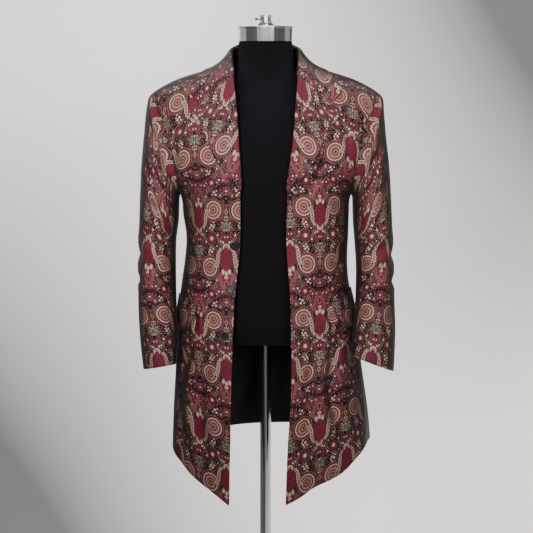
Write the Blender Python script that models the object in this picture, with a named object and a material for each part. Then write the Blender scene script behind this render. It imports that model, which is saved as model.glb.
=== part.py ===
"""Frock coat of figured brocade, worn open on a limbless dress form with a pole and a round base.

Metres, +Z up. The coat's front faces -Y and the wearer's left is +X. The origin is the centre of
the base's underside. Every cloth piece is a closed wall: a grid of points on its outer face, a
second grid one cloth thickness behind it, and a rim between them.
"""

from collections import namedtuple

import bmesh
import bpy
import numpy as np

CLOTH = 0.0025  # brocade with its interlining
LINING = 0.0012  # satin
SEAM = 0.00015  # each edge draws back this far, which leaves 0.3 mm at a seam
LINING_GAP = 0.0006

ARMPIT_Z = 1.137
YOKE_POWER = 2.3  # how squarely the chest rounds over into the shoulder
NECK_X = 0.080  # where the shoulder seam meets the collar
TIP_X = 0.243  # where the shoulder seam meets the sleeve
NAPE_Z = 1.437
ROLL_TOP_Z = 1.395  # where lapel and collar meet on the roll line

ACROSS = 13  # points from a front edge, or the centre back, to the side
ARMHOLE_STEPS = 10  # rows from the shoulder tip down to the armpit
NECK_PART = 0.3  # the part of those rows that ends on the back's neck
SKIRT_STEPS = 11  # rows from the armpit down to the hem

LEFT, RIGHT = 1, -1
SIDE_NAMES = {LEFT: "left", RIGHT: "right"}

# Half widths of the coat on each side, and its depth before and behind the pole.
Girth = namedtuple("Girth", "z left right front back power")
GIRTHS = (
    Girth(0.46, 0.243, 0.216, 0.150, 0.168, 2.15),
    Girth(0.58, 0.236, 0.210, 0.146, 0.160, 2.15),
    Girth(0.67, 0.227, 0.206, 0.142, 0.152, 2.20),
    Girth(0.76, 0.214, 0.200, 0.137, 0.142, 2.20),
    Girth(0.90, 0.194, 0.192, 0.130, 0.122, 2.25),
    Girth(0.95, 0.184, 0.185, 0.126, 0.113, 2.30),
    Girth(1.00, 0.181, 0.178, 0.124, 0.109, 2.30),
    Girth(1.05, 0.183, 0.175, 0.125, 0.113, 2.30),
    Girth(1.09, 0.184, 0.181, 0.128, 0.120, 2.30),
    Girth(1.137, 0.188, 0.187, 0.130, 0.130, 2.30),
    Girth(1.18, 0.214, 0.212, 0.131, 0.134, 2.30),
    Girth(1.24, 0.240, 0.239, 0.130, 0.135, 2.30),
    Girth(1.30, 0.253, 0.252, 0.130, 0.133, 2.30),
    Girth(1.364, 0.262, 0.262, 0.130, 0.130, 2.30),
    Girth(1.45, 0.270, 0.270, 0.130, 0.130, 2.30),
)

# Height of the shoulder line. Inside the neck it is carried on as the root of the collar.
Ridge = namedtuple("Ridge", "x z")
RIDGES = (
    Ridge(0.000, 1.500),
    Ridge(0.040, 1.470),
    Ridge(0.080, 1.430),
    Ridge(0.112, 1.4145),
    Ridge(0.143, 1.406),
    Ridge(0.170, 1.398),
    Ridge(0.198, 1.388),
    Ridge(0.220, 1.377),
    Ridge(0.243, 1.363),
    Ridge(0.270, 1.340),
)

# Roll line and front edge of each front.
Edge = namedtuple("Edge", "z left right")
EDGES = (
    Edge(0.470, 0.0440, 0.0797),
    Edge(0.610, 0.0492, 0.0765),
    Edge(0.705, 0.0553, 0.0748),
    Edge(0.855, 0.0552, 0.0701),
    Edge(0.942, 0.0525, 0.0655),
    Edge(1.050, 0.0455, 0.0557),
    Edge(1.155, 0.0480, 0.0543),
    Edge(1.250, 0.0610, 0.0600),
    Edge(1.320, 0.0672, 0.0645),
    Edge(1.368, 0.0705, 0.0690),
    Edge(1.412, 0.0750, 0.0750),
    Edge(1.430, 0.0800, 0.0800),
)

# The armhole's place across the coat, seen from the front.
Armhole = namedtuple("Armhole", "z x")
ARMHOLES = (
    Armhole(1.137, 0.1880),
    Armhole(1.187, 0.1940),
    Armhole(1.215, 0.1990),
    Armhole(1.246, 0.2050),
    Armhole(1.274, 0.2120),
    Armhole(1.305, 0.2220),
    Armhole(1.325, 0.2320),
    Armhole(1.363, 0.2430),
)

# Hem height: 0 is the front edge, 1 the side seam and 2 the centre back.
Hem = namedtuple("Hem", "part left right")
HEMS = (
    Hem(0.00, 0.4735, 0.4705),
    Hem(0.09, 0.4890, 0.4860),
    Hem(0.18, 0.5080, 0.5000),
    Hem(0.33, 0.5250, 0.5190),
    Hem(0.44, 0.5380, 0.5320),
    Hem(0.59, 0.5640, 0.5525),
    Hem(0.75, 0.5840, 0.5660),
    Hem(0.92, 0.5890, 0.5750),
    Hem(1.00, 0.5895, 0.5770),
    Hem(1.45, 0.5930, 0.5780),
    Hem(2.00, 0.5860, 0.5860),
)

# Soft folds: an angle round the body, the height where each ends, its half width and its depth.
Fold = namedtuple("Fold", "side angle top bottom spread depth lean")
FOLDS = (
    Fold(LEFT, 66, 0.86, 0.40, 7, 0.0050, -6),
    Fold(LEFT, 82, 0.80, 0.40, 6, -0.0060, -4),
    Fold(LEFT, 97, 0.78, 0.40, 7, 0.0055, 0),
    Fold(RIGHT, 72, 0.80, 0.40, 8, 0.0040, -5),
    Fold(RIGHT, 92, 0.76, 0.40, 7, -0.0045, 0),
    Fold(LEFT, 132, 0.90, 0.40, 9, 0.0070, 6),
    Fold(LEFT, 156, 0.92, 0.40, 9, -0.0060, 4),
    Fold(RIGHT, 128, 0.90, 0.40, 9, 0.0065, 7),
    Fold(RIGHT, 152, 0.94, 0.40, 9, -0.0060, 3),
    Fold(RIGHT, 17, 1.13, 0.86, 7, -0.0060, 3),
    Fold(LEFT, 14, 1.12, 0.92, 6, -0.0035, 2),
)

# The lapel: a height on the roll line and the point of the outer edge level with it.
Lapel = namedtuple("Lapel", "part roll_z edge_x edge_z")
LAPELS = (
    Lapel(0.00, 1.157, 0.0620, 1.150),
    Lapel(0.20, 1.205, 0.0843, 1.193),
    Lapel(0.42, 1.250, 0.1110, 1.233),
    Lapel(0.66, 1.305, 0.1307, 1.280),
    Lapel(0.88, 1.360, 0.1540, 1.308),
    Lapel(1.00, ROLL_TOP_Z, 0.1660, 1.316),
)

# The collar from the lapel round to the nape. Its outer edge lies at x and a tilt in degrees:
# 90 is the shoulder line, less is in front of it and more is behind it.
Collar = namedtuple("Collar", "part leaf_x leaf_tilt stand upright")
COLLARS = (
    Collar(0.00, 0.1380, 45.5, 0.003, 0.0),
    Collar(0.13, 0.1620, 56.5, 0.006, 0.2),
    Collar(0.30, 0.1440, 74, 0.012, 0.7),
    Collar(0.46, 0.1180, 92, 0.020, 1.0),
    Collar(0.66, 0.0960, 115, 0.028, 1.0),
    Collar(0.84, 0.0500, 128, 0.033, 1.0),
    Collar(1.00, 0.0000, 131.5, 0.035, 1.0),
)
SHOULDER_PART = 0.46  # the part of the collar that ends at the shoulder seam
GORGE_TILT = 59  # where the collar's seam starts on the front
TURN_GAP = 0.0009  # between a turned layer's root and the edge that it is sewn to
GORGE_EASE = 0.35  # the part of the collar over which it leaves the line of the lapel
FOLD_RADIUS = 0.0030
TURN_LIFT = 0.0030  # middle of a turned layer above the panel it lies on

# Sleeve rings: outline in front view (outer and inner side), middle and half depth, turn of the
# oval about the vertical and how far its front stands above its back.
Ring = namedtuple("Ring", "outer_x outer_z inner_x inner_z y depth turn rise")
SLEEVES = {
    LEFT: (
        Ring(0.2570, 1.348, 0.1905, 1.134, 0.003, 0.080, 0, 0.000),
        Ring(0.2605, 1.310, 0.1915, 1.124, 0.002, 0.081, 0, 0.000),
        Ring(0.2665, 1.250, 0.1920, 1.104, 0.000, 0.079, 0, 0.000),
        Ring(0.2740, 1.180, 0.1930, 1.074, -0.003, 0.075, 0, 0.000),
        Ring(0.2790, 1.080, 0.1960, 1.036, -0.010, 0.071, 1, 0.004),
        Ring(0.2815, 0.985, 0.1990, 0.975, -0.026, 0.067, 4, 0.008),
        Ring(0.2840, 0.908, 0.1965, 0.910, -0.048, 0.063, 9, 0.012),
        Ring(0.2850, 0.855, 0.1935, 0.866, -0.067, 0.060, 14, 0.014),
        Ring(0.2830, 0.810, 0.1890, 0.828, -0.083, 0.057, 19, 0.015),
        Ring(0.2800, 0.765, 0.1850, 0.792, -0.096, 0.055, 24, 0.015),
    ),
    RIGHT: (
        Ring(0.2555, 1.350, 0.1890, 1.134, 0.003, 0.080, 0, 0.000),
        Ring(0.2620, 1.318, 0.1900, 1.124, 0.002, 0.081, 0, 0.000),
        Ring(0.2675, 1.262, 0.1905, 1.104, 0.000, 0.079, 0, 0.000),
        Ring(0.2740, 1.190, 0.1915, 1.078, -0.003, 0.075, 0, 0.000),
        Ring(0.2780, 1.090, 0.1965, 1.037, -0.010, 0.071, 0, 0.004),
        Ring(0.2800, 0.990, 0.1970, 0.984, -0.024, 0.067, 1, 0.006),
        Ring(0.2800, 0.908, 0.1955, 0.911, -0.042, 0.063, 3, 0.008),
        Ring(0.2775, 0.857, 0.1925, 0.862, -0.058, 0.060, 5, 0.010),
        Ring(0.2735, 0.812, 0.1925, 0.818, -0.070, 0.057, 7, 0.010),
        Ring(0.2675, 0.763, 0.1945, 0.773, -0.082, 0.055, 9, 0.010),
    ),
}
SLEEVE_ROUND = 10  # steps down the front of the armhole, and as many down its back
FRONT_SEAM_STEP = 7  # the two seams of a sleeve, in those steps from the shoulder tip
BACK_SEAM_STEP = 6

# Pocket flaps, as angles round the body and heights; the lift is at the free lower front corner.
Flap = namedtuple("Flap", "front_top front_foot back front_z back_z drop lift")
FLAPS = {
    LEFT: Flap(45.5, 52, 84, 0.910, 0.934, 0.060, 0.0090),
    RIGHT: Flap(48.5, 52, 84, 0.898, 0.920, 0.052, 0.0080),
}

BUTTON_RADIUS = 0.0095
BUTTON_THICK = 0.0034
BUTTON_LIFT = 0.0025
Button = namedtuple("Button", "x z")
BUTTONS = (Button(0.0665, 1.038), Button(0.0765, 0.943), Button(0.0870, 0.842))

LINING_ROW = ARMHOLE_STEPS + 2  # the back's row where its lining starts
LINING_HEM_PART = 0.70  # how far down the last row of the back the lining goes

# The dress form, bottom to top, as half width, front depth and back depth.
Form = namedtuple("Form", "z half front back power")
FORMS = (
    Form(0.8150, 0.140, 0.090, 0.085, 2.2),
    Form(0.8200, 0.154, 0.101, 0.095, 2.2),
    Form(0.8350, 0.162, 0.107, 0.099, 2.2),
    Form(0.9000, 0.164, 0.109, 0.098, 2.2),
    Form(0.9800, 0.155, 0.104, 0.090, 2.2),
    Form(1.0500, 0.157, 0.107, 0.094, 2.2),
    Form(1.1300, 0.165, 0.114, 0.110, 2.3),
    Form(1.2000, 0.176, 0.116, 0.117, 2.3),
    Form(1.2650, 0.187, 0.109, 0.115, 2.3),
    Form(1.3150, 0.192, 0.093, 0.102, 2.3),
    Form(1.3500, 0.182, 0.076, 0.088, 2.2),
    Form(1.3750, 0.156, 0.065, 0.077, 2.1),
    Form(1.3920, 0.122, 0.059, 0.069, 2.0),
    Form(1.4060, 0.090, 0.057, 0.063, 2.0),
    Form(1.4200, 0.068, 0.056, 0.059, 2.0),
    Form(1.4400, 0.060, 0.056, 0.057, 2.0),
    Form(1.4720, 0.058, 0.056, 0.056, 2.0),
)
FORM_ROUND = 32

GAP = 0.0003  # between hard pieces that meet
CAP_RADIUS, CAP_HEIGHT, CAP_LIP = 0.0600, 0.0320, 0.0018
CLAMP_RADIUS, CLAMP_HEIGHT = 0.0185, 0.0065
FINIAL_RADIUS, FINIAL_WAIST, FINIAL_HEIGHT = 0.0137, 0.0122, 0.0165
SCREW_RADIUS, SCREW_HEAD, SCREW_LENGTH = 0.0016, 0.0036, 0.0105
POLE_RADIUS = 0.0125
SOCKET_RADIUS, SOCKET_HEIGHT = 0.021, 0.045
BASE_RADIUS, BASE_EDGE, BASE_HEIGHT = 0.165, 0.010, 0.022
TURN_STEPS = 40


def smooth(table, key, column, at):
    """A smooth curve through one column of a table, read at values of the key column."""
    known = np.array([getattr(row, key) for row in table], float)
    values = np.array([getattr(row, column) for row in table], float)
    slopes = np.gradient(values, known)
    at = np.clip(np.asarray(at, float), known[0], known[-1])
    i = np.clip(np.searchsorted(known, at) - 1, 0, len(known) - 2)
    span = known[i + 1] - known[i]
    t = (at - known[i]) / span
    return (
        values[i] * (1 + 2 * t) * (1 - t) ** 2
        + values[i + 1] * t * t * (3 - 2 * t)
        + span * (slopes[i] * t * (1 - t) ** 2 - slopes[i + 1] * t * t * (1 - t))
    )


def rounded(part, power):
    """The other coordinate of a superellipse quarter, for a part of its half width."""
    return np.clip(1 - np.abs(part) ** power, 0, 1) ** (1 / power)


def unit(vectors):
    return vectors / np.maximum(np.linalg.norm(vectors, axis=-1, keepdims=True), 1e-12)


def half_width(z, side):
    return smooth(GIRTHS, "z", SIDE_NAMES[side], z)


def girth_power(z):
    return smooth(GIRTHS, "z", "power", z)


def ridge_z(x):
    return smooth(RIDGES, "x", "z", np.abs(x))


def fold_depth(angle, z, side):
    """How far the soft folds push the cloth out, or in where it is negative."""
    depth = np.zeros(np.broadcast(angle, z).shape)
    for fold in (fold for fold in FOLDS if fold.side == side):
        run = np.clip((fold.top - z) / (fold.top - fold.bottom), 0, 1)
        fades = fold.bottom > 0.5
        growth = np.sin(np.pi * run) ** 2 if fades else run**1.4
        middle = fold.angle + fold.lean * run
        depth = depth + fold.depth * growth * np.exp(-(((angle - middle) / fold.spread) ** 2))
    return depth


def shell(angle, z, side):
    """Points of the coat's outer face. The angle is in degrees, from the front centre to the back."""
    power = girth_power(z)
    turn = np.radians(np.clip(angle, 0, 180))
    across = half_width(z, side) * np.abs(np.sin(turn)) ** (2 / power)
    deep = np.abs(np.cos(turn)) ** (2 / power)
    depth = np.where(angle < 90, smooth(GIRTHS, "z", "front", z), smooth(GIRTHS, "z", "back", z))
    rise = np.clip((z - ARMPIT_Z) / (ridge_z(across) - ARMPIT_Z), 0, 1)
    along = -np.sign(90 - angle) * depth * deep * rounded(rise, YOKE_POWER)
    push = fold_depth(angle, z, side)
    x = side * (across + push * np.sin(turn))
    y = along - push * np.cos(turn)
    return np.stack([x, y, np.broadcast_to(z, x.shape)], axis=-1)


def angle_at(x, z, side, behind=False):
    """The angle round the body of a point at x, seen from the front or from behind."""
    part = np.clip(np.abs(x) / half_width(z, side), 0, 1)
    angle = np.degrees(np.arcsin(part ** (girth_power(z) / 2)))
    return 180 - angle if behind else angle


def yoke(x, tilt, side):
    """Points of the shoulder: a tilt of 90 is the shoulder line, 0 the chest and 180 the back."""
    turn = np.radians(tilt)
    rise = np.abs(np.sin(turn)) ** (2 / YOKE_POWER)
    z = ARMPIT_Z + (ridge_z(x) - ARMPIT_Z) * rise
    depth = np.where(tilt < 90, smooth(GIRTHS, "z", "front", z), smooth(GIRTHS, "z", "back", z))
    deep = depth * rounded(np.abs(x) / half_width(z, side), girth_power(z))
    y = -np.sign(np.cos(turn)) * deep * np.abs(np.cos(turn)) ** (2 / YOKE_POWER)
    return np.stack([side * np.abs(x) * np.ones_like(z), y, z], axis=-1)


def tilt_at(x, z):
    """The tilt of a point of the shoulder at x and z, counted from the chest or the back."""
    rise = np.clip((z - ARMPIT_Z) / (ridge_z(x) - ARMPIT_Z), 0, 1)
    return np.degrees(np.arcsin(rise ** (YOKE_POWER / 2)))


def shoulder(angle, tilt, side):
    """Points of the outer face above the armpit, by the angle round the body and the tilt."""
    turn, lean = np.radians(angle), np.radians(tilt)
    rise = np.abs(np.sin(lean)) ** (2 / YOKE_POWER)
    z = ARMPIT_Z + 0.25 * rise
    for _ in range(12):
        power = girth_power(z)
        across = half_width(z, side) * np.abs(np.sin(turn)) ** (2 / power)
        z = ARMPIT_Z + (ridge_z(across) - ARMPIT_Z) * rise
    depth = np.where(angle < 90, smooth(GIRTHS, "z", "front", z), smooth(GIRTHS, "z", "back", z))
    deep = depth * np.abs(np.cos(turn)) ** (2 / power) * np.abs(np.cos(lean)) ** (2 / YOKE_POWER)
    push = fold_depth(angle, z, side)
    x = side * (across + push * np.sin(turn))
    y = -np.sign(90 - angle) * np.sign(90 - tilt) * deep - push * np.cos(turn)
    return np.stack([x, y, z], axis=-1)


def normals_of(place, first, second, side, step):
    """Outward unit normals of a surface function of two parameters."""
    one = place(first + 0.4, second, side) - place(first - 0.4, second, side)
    two = place(first, second + step, side) - place(first, second - step, side)
    normals = unit(np.cross(one, two))
    away = place(first, second, side) * [1.0, 1.0, 0.0]
    return normals * np.sign((normals * away).sum(axis=-1).mean())


def shell_normals(angle, z, side):
    return normals_of(shell, angle, z, side, 0.002)


def drawn_in(points):
    """The grid with each of its four edges drawn back by half a seam gap."""
    points = points.copy()
    for edge, inner in (((0,), (1,)), ((-1,), (-2,))):
        points[edge] += unit(points[inner] - points[edge]) * SEAM
        points[:, edge] += unit(points[:, inner] - points[:, edge]) * SEAM
    return points


def paint(name, colour, roughness, metallic=0.0):
    material = bpy.data.materials.get(name)
    if material is None:
        material = bpy.data.materials.new(name)
        material.use_nodes = True
        shader = material.node_tree.nodes["Principled BSDF"]
        shader.inputs["Base Color"].default_value = (*colour, 1.0)
        shader.inputs["Roughness"].default_value = roughness
        shader.inputs["Metallic"].default_value = metallic
        material.diffuse_color = (*colour, 1.0)
    return material


def brocade():
    return paint("brocade", (0.17, 0.045, 0.06), 0.5)


def satin():
    return paint("lining satin", (0.010, 0.010, 0.012), 0.35)


def horn():
    return paint("button horn", (0.02, 0.022, 0.026), 0.35)


def jersey():
    return paint("form jersey", (0.016, 0.016, 0.018), 0.85)


def chrome():
    return paint("stand chrome", (0.62, 0.61, 0.60), 0.2, 1.0)


def add_object(name, mesh, material):
    obj = bpy.data.objects.new(name, mesh)
    bpy.context.scene.collection.objects.link(obj)
    mesh.materials.append(material)
    mesh.shade_smooth()
    mesh.set_sharp_from_angle(angle=np.radians(40))
    return obj


def closed_mesh(name, verts, faces, material):
    """An object from points and faces, with its faces turned outwards."""
    mesh = bpy.data.meshes.new(name)
    mesh.from_pydata([tuple(v) for v in verts], [], faces)
    body = bmesh.new()
    body.from_mesh(mesh)
    if body.calc_volume(signed=True) < 0:
        bmesh.ops.reverse_faces(body, faces=body.faces)
    body.to_mesh(mesh)
    body.free()
    return add_object(name, mesh, material)


def wall(name, outer, inner, material):
    """A closed wall between two grids of the same size."""
    rows, columns = outer.shape[:2]
    behind = rows * columns

    def at(row, column):
        return row * columns + column

    faces = []
    for row in range(rows - 1):
        for column in range(columns - 1):
            ring = (at(row, column), at(row + 1, column), at(row + 1, column + 1), at(row, column + 1))
            faces.append(ring)
            faces.append(tuple(behind + i for i in reversed(ring)))
    rim = [at(0, c) for c in range(columns)]
    rim += [at(r, columns - 1) for r in range(1, rows)]
    rim += [at(rows - 1, c) for c in range(columns - 2, -1, -1)]
    rim += [at(r, 0) for r in range(rows - 2, 0, -1)]
    for here, there in zip(rim, rim[1:] + rim[:1]):
        faces.append((here, there, behind + there, behind + here))
    verts = np.concatenate([outer.reshape(-1, 3), inner.reshape(-1, 3)])
    return closed_mesh(name, verts, faces, material)


def turned(name, profile, material, steps=TURN_STEPS, at=(0.0, 0.0, 0.0), axis="Z"):
    """A solid of revolution from (radius, height) pairs that start and end on the axis."""
    body = bmesh.new()
    points = [body.verts.new((radius, 0.0, height)) for radius, height in profile]
    edges = [body.edges.new(pair) for pair in zip(points, points[1:])]
    bmesh.ops.spin(
        body, geom=points + edges, cent=(0, 0, 0), axis=(0, 0, 1), angle=2 * np.pi,
        steps=steps, use_merge=True,
    )
    bmesh.ops.remove_doubles(body, verts=body.verts, dist=1e-6)
    if axis == "X":
        for vert in body.verts:
            vert.co = (-vert.co.z, vert.co.y, vert.co.x)
    for vert in body.verts:
        vert.co = tuple(a + b for a, b in zip(vert.co, at))
    if body.calc_volume(signed=True) < 0:
        bmesh.ops.reverse_faces(body, faces=body.faces)
    mesh = bpy.data.meshes.new(name)
    body.to_mesh(mesh)
    body.free()
    return add_object(name, mesh, material)


def neck_place(part):
    """The back of the neck seam, from the shoulder seam to the nape, as x and z."""
    along = part**1.5
    return NECK_X * (1 - along) ** 0.8, ridge_z(NECK_X) + (NAPE_Z - ridge_z(NECK_X)) * along


def roll_place(tilt, side):
    """The front edge at a tilt of the shoulder, as x and z."""
    rise = np.sin(np.radians(tilt)) ** (2 / YOKE_POWER)
    x = np.full_like(rise, NECK_X)
    for _ in range(8):
        z = ARMPIT_Z + (ridge_z(x) - ARMPIT_Z) * rise
        x = smooth(EDGES, "z", SIDE_NAMES[side], z)
    return x, z


def armhole_heights():
    """Heights of the armhole's points, from the shoulder tip down to the armpit."""
    turn = np.pi * np.arange(ARMHOLE_STEPS + 1) / ARMHOLE_STEPS
    top = float(ridge_z(TIP_X))
    return (top + ARMPIT_Z) / 2 + (top - ARMPIT_Z) / 2 * np.cos(turn)


def armhole(side, behind=False):
    """Angles, tilts and heights of the armhole's points, from the shoulder tip to the armpit."""
    z = armhole_heights()
    x = smooth(ARMHOLES, "z", "x", z)
    angles = angle_at(x, z, side, behind)
    angles[-1] = 90
    tilts = tilt_at(x, z)
    tilts[0] = 90
    return angles, tilts, z


def panel_rows(side, behind):
    """Points and normals of a front or a back, a row for each step down and a column across."""
    name = SIDE_NAMES[side]
    upper = np.arange(ARMHOLE_STEPS + 1) / ARMHOLE_STEPS
    lower = np.arange(1, SKIRT_STEPS + 1) / SKIRT_STEPS
    part = np.linspace(0, 1, ACROSS)
    hem = smooth(HEMS, "part", name, 2 - part if behind else part)
    low_z = ARMPIT_Z + (hem[0] - ARMPIT_Z) * lower
    if behind:
        neck_x, neck_z = neck_place(np.clip(upper / NECK_PART, 0, 1))
        down_centre = np.clip((upper - NECK_PART) / (1 - NECK_PART), 0, 1)
        top_x, top_z = neck_x, neck_z + (ARMPIT_Z - NAPE_Z) * down_centre
        low_x = np.zeros(SKIRT_STEPS)
    else:
        top_x, top_z = roll_place(90 * (1 - upper), side)
        low_x = smooth(EDGES, "z", name, low_z)
    outer_angle, outer_tilt, _ = armhole(side, behind)

    def across(inner, outer):
        return inner[:, None] + (outer - inner)[:, None] * part

    angle = across(angle_at(top_x, top_z, side, behind), outer_angle)
    inner_tilt = tilt_at(top_x, top_z)
    inner_tilt[0] = 90
    tilt = across(inner_tilt, outer_tilt)
    top = shoulder(angle, tilt, side)
    top[0, :, 1] = 0.0
    top_normals = normals_of(shoulder, angle, tilt, side, 0.4)
    top_normals[-1] = shell_normals(angle[-1], np.full(ACROSS, ARMPIT_Z), side)

    low_angle = across(angle_at(low_x, low_z, side, behind), np.full(SKIRT_STEPS, 90.0))
    low_outer = ARMPIT_Z + (hem[-1] - ARMPIT_Z) * lower
    straight = across(low_z, low_outer)
    z = straight + (lower**2)[:, None] * (hem - straight[-1])
    low = shell(low_angle, z, side)
    low_normals = shell_normals(low_angle, z, side)
    return np.concatenate([top, low]), np.concatenate([top_normals, low_normals])


def panel(name, side, behind):
    points, normals = panel_rows(side, behind)
    normals[0, :, 1] = 0.0  # front and back share these at the shoulder and side seams
    normals[ARMHOLE_STEPS:, -1, 1] = 0.0
    if behind:
        normals[round(NECK_PART * ARMHOLE_STEPS):, 0, 0] = 0.0
    points = drawn_in(points)
    return wall(name, points, points - unit(normals) * CLOTH, brocade())


def lining():
    """Satin inside the back of the skirt, from one side seam across to the other."""
    halves = []
    for side in (LEFT, RIGHT):
        points, normals = panel_rows(side, True)
        normals[:, 0, 0] = 0.0
        inner = (points - unit(normals) * (CLOTH + LINING_GAP))[LINING_ROW:]
        inner[-1] = inner[-2] + (inner[-1] - inner[-2]) * LINING_HEM_PART
        halves.append((inner[:, :-1], unit(normals)[LINING_ROW:, :-1]))
    (left, left_lean), (right, right_lean) = halves
    outer = np.concatenate([left[:, ::-1], right[:, 1:]], axis=1)
    lean = np.concatenate([left_lean[:, ::-1], right_lean[:, 1:]], axis=1)
    return wall("skirt_lining", outer, outer - lean * LINING, satin())


def turned_sheet(name, seam, inward, normal, upright, stand_up, out, stand, fall, material):
    """A wall that rises from a seam, folds over and lies back down over a panel.

    Each argument has a row for each station: inward points from the seam into the panel, stand_up
    and out are the directions of the stand and of the fold, and fall is the grid that lies down.
    """
    root = seam - inward * (TURN_GAP + CLOTH / 2 * upright)[:, None] - normal * CLOTH / 2
    top = root + stand_up * stand[:, None]
    centre = top + out * FOLD_RADIUS
    columns = [root]
    if stand.max() > 0.01:
        columns.append(root + (top - root) * 0.5)
    for turn in np.linspace(np.pi, 0, 5)[1 if stand.max() <= 0.01 else 0:]:
        columns.append(centre + stand_up * FOLD_RADIUS * np.sin(turn) + out * FOLD_RADIUS * np.cos(turn))
    shift = columns[-1] - fall[:, 0]
    ease = np.linspace(0, 1, fall.shape[1])
    for column in range(1, fall.shape[1]):
        columns.append(fall[:, column] + shift * (1 - ease[column]) ** 2)
    middle = np.stack(columns, axis=1)
    middle[0] += unit(middle[1] - middle[0]) * SEAM * 2
    middle[-1] += unit(middle[-2] - middle[-1]) * SEAM * 2
    lean = unit(np.cross(np.gradient(middle, axis=0), np.gradient(middle, axis=1)))
    return wall(name, middle + lean * CLOTH / 2, middle - lean * CLOTH / 2, material)


def lapel(side):
    rows, columns = 11, 7
    part = np.linspace(0, 1, rows)
    roll_z = smooth(LAPELS, "part", "roll_z", part)
    roll_x = smooth(EDGES, "z", SIDE_NAMES[side], roll_z)
    edge_x = smooth(LAPELS, "part", "edge_x", part)
    edge_z = smooth(LAPELS, "part", "edge_z", part)
    over = np.linspace(0, 1, columns)
    z = roll_z[:, None] + (edge_z - roll_z)[:, None] * over
    x = roll_x[:, None] + (edge_x - roll_x)[:, None] * over
    angle = angle_at(x, z, side)
    points, normals = shell(angle, z, side), shell_normals(angle, z, side)
    inward = unit(points[:, 1] - points[:, 0])
    fall = points + normals * TURN_LIFT
    stand = np.zeros(rows)
    return turned_sheet(
        SIDE_NAMES[side] + "_lapel", points[:, 0], inward, normals[:, 0], stand, -inward,
        normals[:, 0], stand, fall, brocade(),
    )


def gorge_tilts(x, side):
    """Tilts of the straight seam between lapel and collar, which ends at the lapel's point."""
    tip = LAPELS[-1]
    roll_x = float(smooth(EDGES, "z", SIDE_NAMES[side], ROLL_TOP_Z))
    z = ROLL_TOP_Z + (tip.edge_z - ROLL_TOP_Z) * (x - roll_x) / (tip.edge_x - roll_x)
    return tilt_at(x, z)


def collar():
    neck_steps = 2 * round(NECK_PART * ARMHOLE_STEPS)
    ahead = np.linspace(0, SHOULDER_PART, 7)
    part = np.concatenate([ahead[:-1], np.linspace(SHOULDER_PART, 1, neck_steps + 1)])
    over = np.linspace(0, 1, 6)
    halves = []
    for side in (RIGHT, LEFT):

        def column(name):
            return smooth(COLLARS, "part", name, part)

        front = part <= SHOULDER_PART
        front_tilt = GORGE_TILT + (90 - GORGE_TILT) * np.clip(part / SHOULDER_PART, 0, 1)
        roll_x, _ = roll_place(front_tilt, side)
        neck_x, neck_z = neck_place(np.clip((part - SHOULDER_PART) / (1 - SHOULDER_PART), 0, 1))
        seam_x = np.where(front, roll_x, neck_x)
        seam_tilt = np.where(front, front_tilt, 180 - tilt_at(neck_x, neck_z))
        x = seam_x[:, None] + (column("leaf_x") - seam_x)[:, None] * over
        tilt = seam_tilt[:, None] + (column("leaf_tilt") - seam_tilt)[:, None] * over
        gorge = gorge_tilts(x[0], side) - tilt[0]
        tilt = tilt + gorge * (np.clip(1 - part / GORGE_EASE, 0, 1) ** 2)[:, None]
        points = yoke(x, tilt, side)
        across = unit(yoke(x + 0.001, tilt, side) - points)
        along = unit(yoke(x, tilt + 1.0, side) - points)
        between = np.arange(len(ahead), len(part), 2)  # halfway along an edge of the back's neck
        points[between, 0] = (points[between - 1, 0] + points[between + 1, 0]) / 2
        normals = unit(np.cross(across, along)) * side
        halves.append((points, normals, column("stand"), column("upright")))
    first, second = halves
    points, normals = (np.concatenate([a[:-1], b[::-1]]) for a, b in zip(first[:2], second[:2]))
    stand, upright = (np.concatenate([a[:-1], b[::-1]]) for a, b in zip(first[2:], second[2:]))
    inward = unit(points[:, 1] - points[:, 0])
    radial = unit(points[:, 0] * [1, 1, 0])
    lean = unit(np.array([0.0, 0.0, 1.0]) - 0.22 * radial)
    stand_up = unit(-inward * (1 - upright)[:, None] + lean * upright[:, None])
    out = normals[:, 0] * (1 - upright)[:, None] + radial * upright[:, None]
    out = unit(out - stand_up * (out * stand_up).sum(axis=1, keepdims=True))
    fall = points + normals * TURN_LIFT
    return turned_sheet(
        "collar", points[:, 0], inward, normals[:, 0], upright, stand_up, out, stand, fall, brocade()
    )


def armhole_ring(side):
    """The armhole as one ring from the shoulder tip, down the front and up the back."""
    halves = []
    for behind in (False, True):
        angles, tilts, _ = armhole(side, behind)
        points = shoulder(angles, tilts, side)
        points[0, 1] = 0.0
        halves.append(points)
    front, back = halves
    return np.concatenate([front, back[-2:0:-1]])


def sleeve_rings(side):
    """Rings of the sleeve's outer face from the armhole to the cuff."""
    around = 2 * SLEEVE_ROUND
    turn = 2 * np.pi * np.arange(around) / around
    seam = armhole_ring(side)
    seam += unit(seam.mean(axis=0) - seam) * 2 * SEAM + np.array([side * 2 * SEAM, 0, 0])
    rings = [seam]
    for ring in SLEEVES[side]:
        swing = np.radians(ring.turn)
        reach = (ring.outer_x - ring.inner_x) / 2
        flat = np.sqrt(reach**2 - (ring.depth * np.sin(swing)) ** 2) / np.cos(swing)
        middle = np.array([
            side * (ring.outer_x + ring.inner_x) / 2, ring.y, (ring.outer_z + ring.inner_z) / 2
        ])
        outwards = np.array([
            side * flat * np.cos(swing), -flat * np.sin(swing), (ring.outer_z - ring.inner_z) / 2
        ])
        forwards = np.array([
            -side * ring.depth * np.sin(swing), -ring.depth * np.cos(swing), ring.rise
        ])
        rings.append(middle + np.cos(turn)[:, None] * outwards + np.sin(turn)[:, None] * forwards)
    return np.stack(rings)


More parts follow.
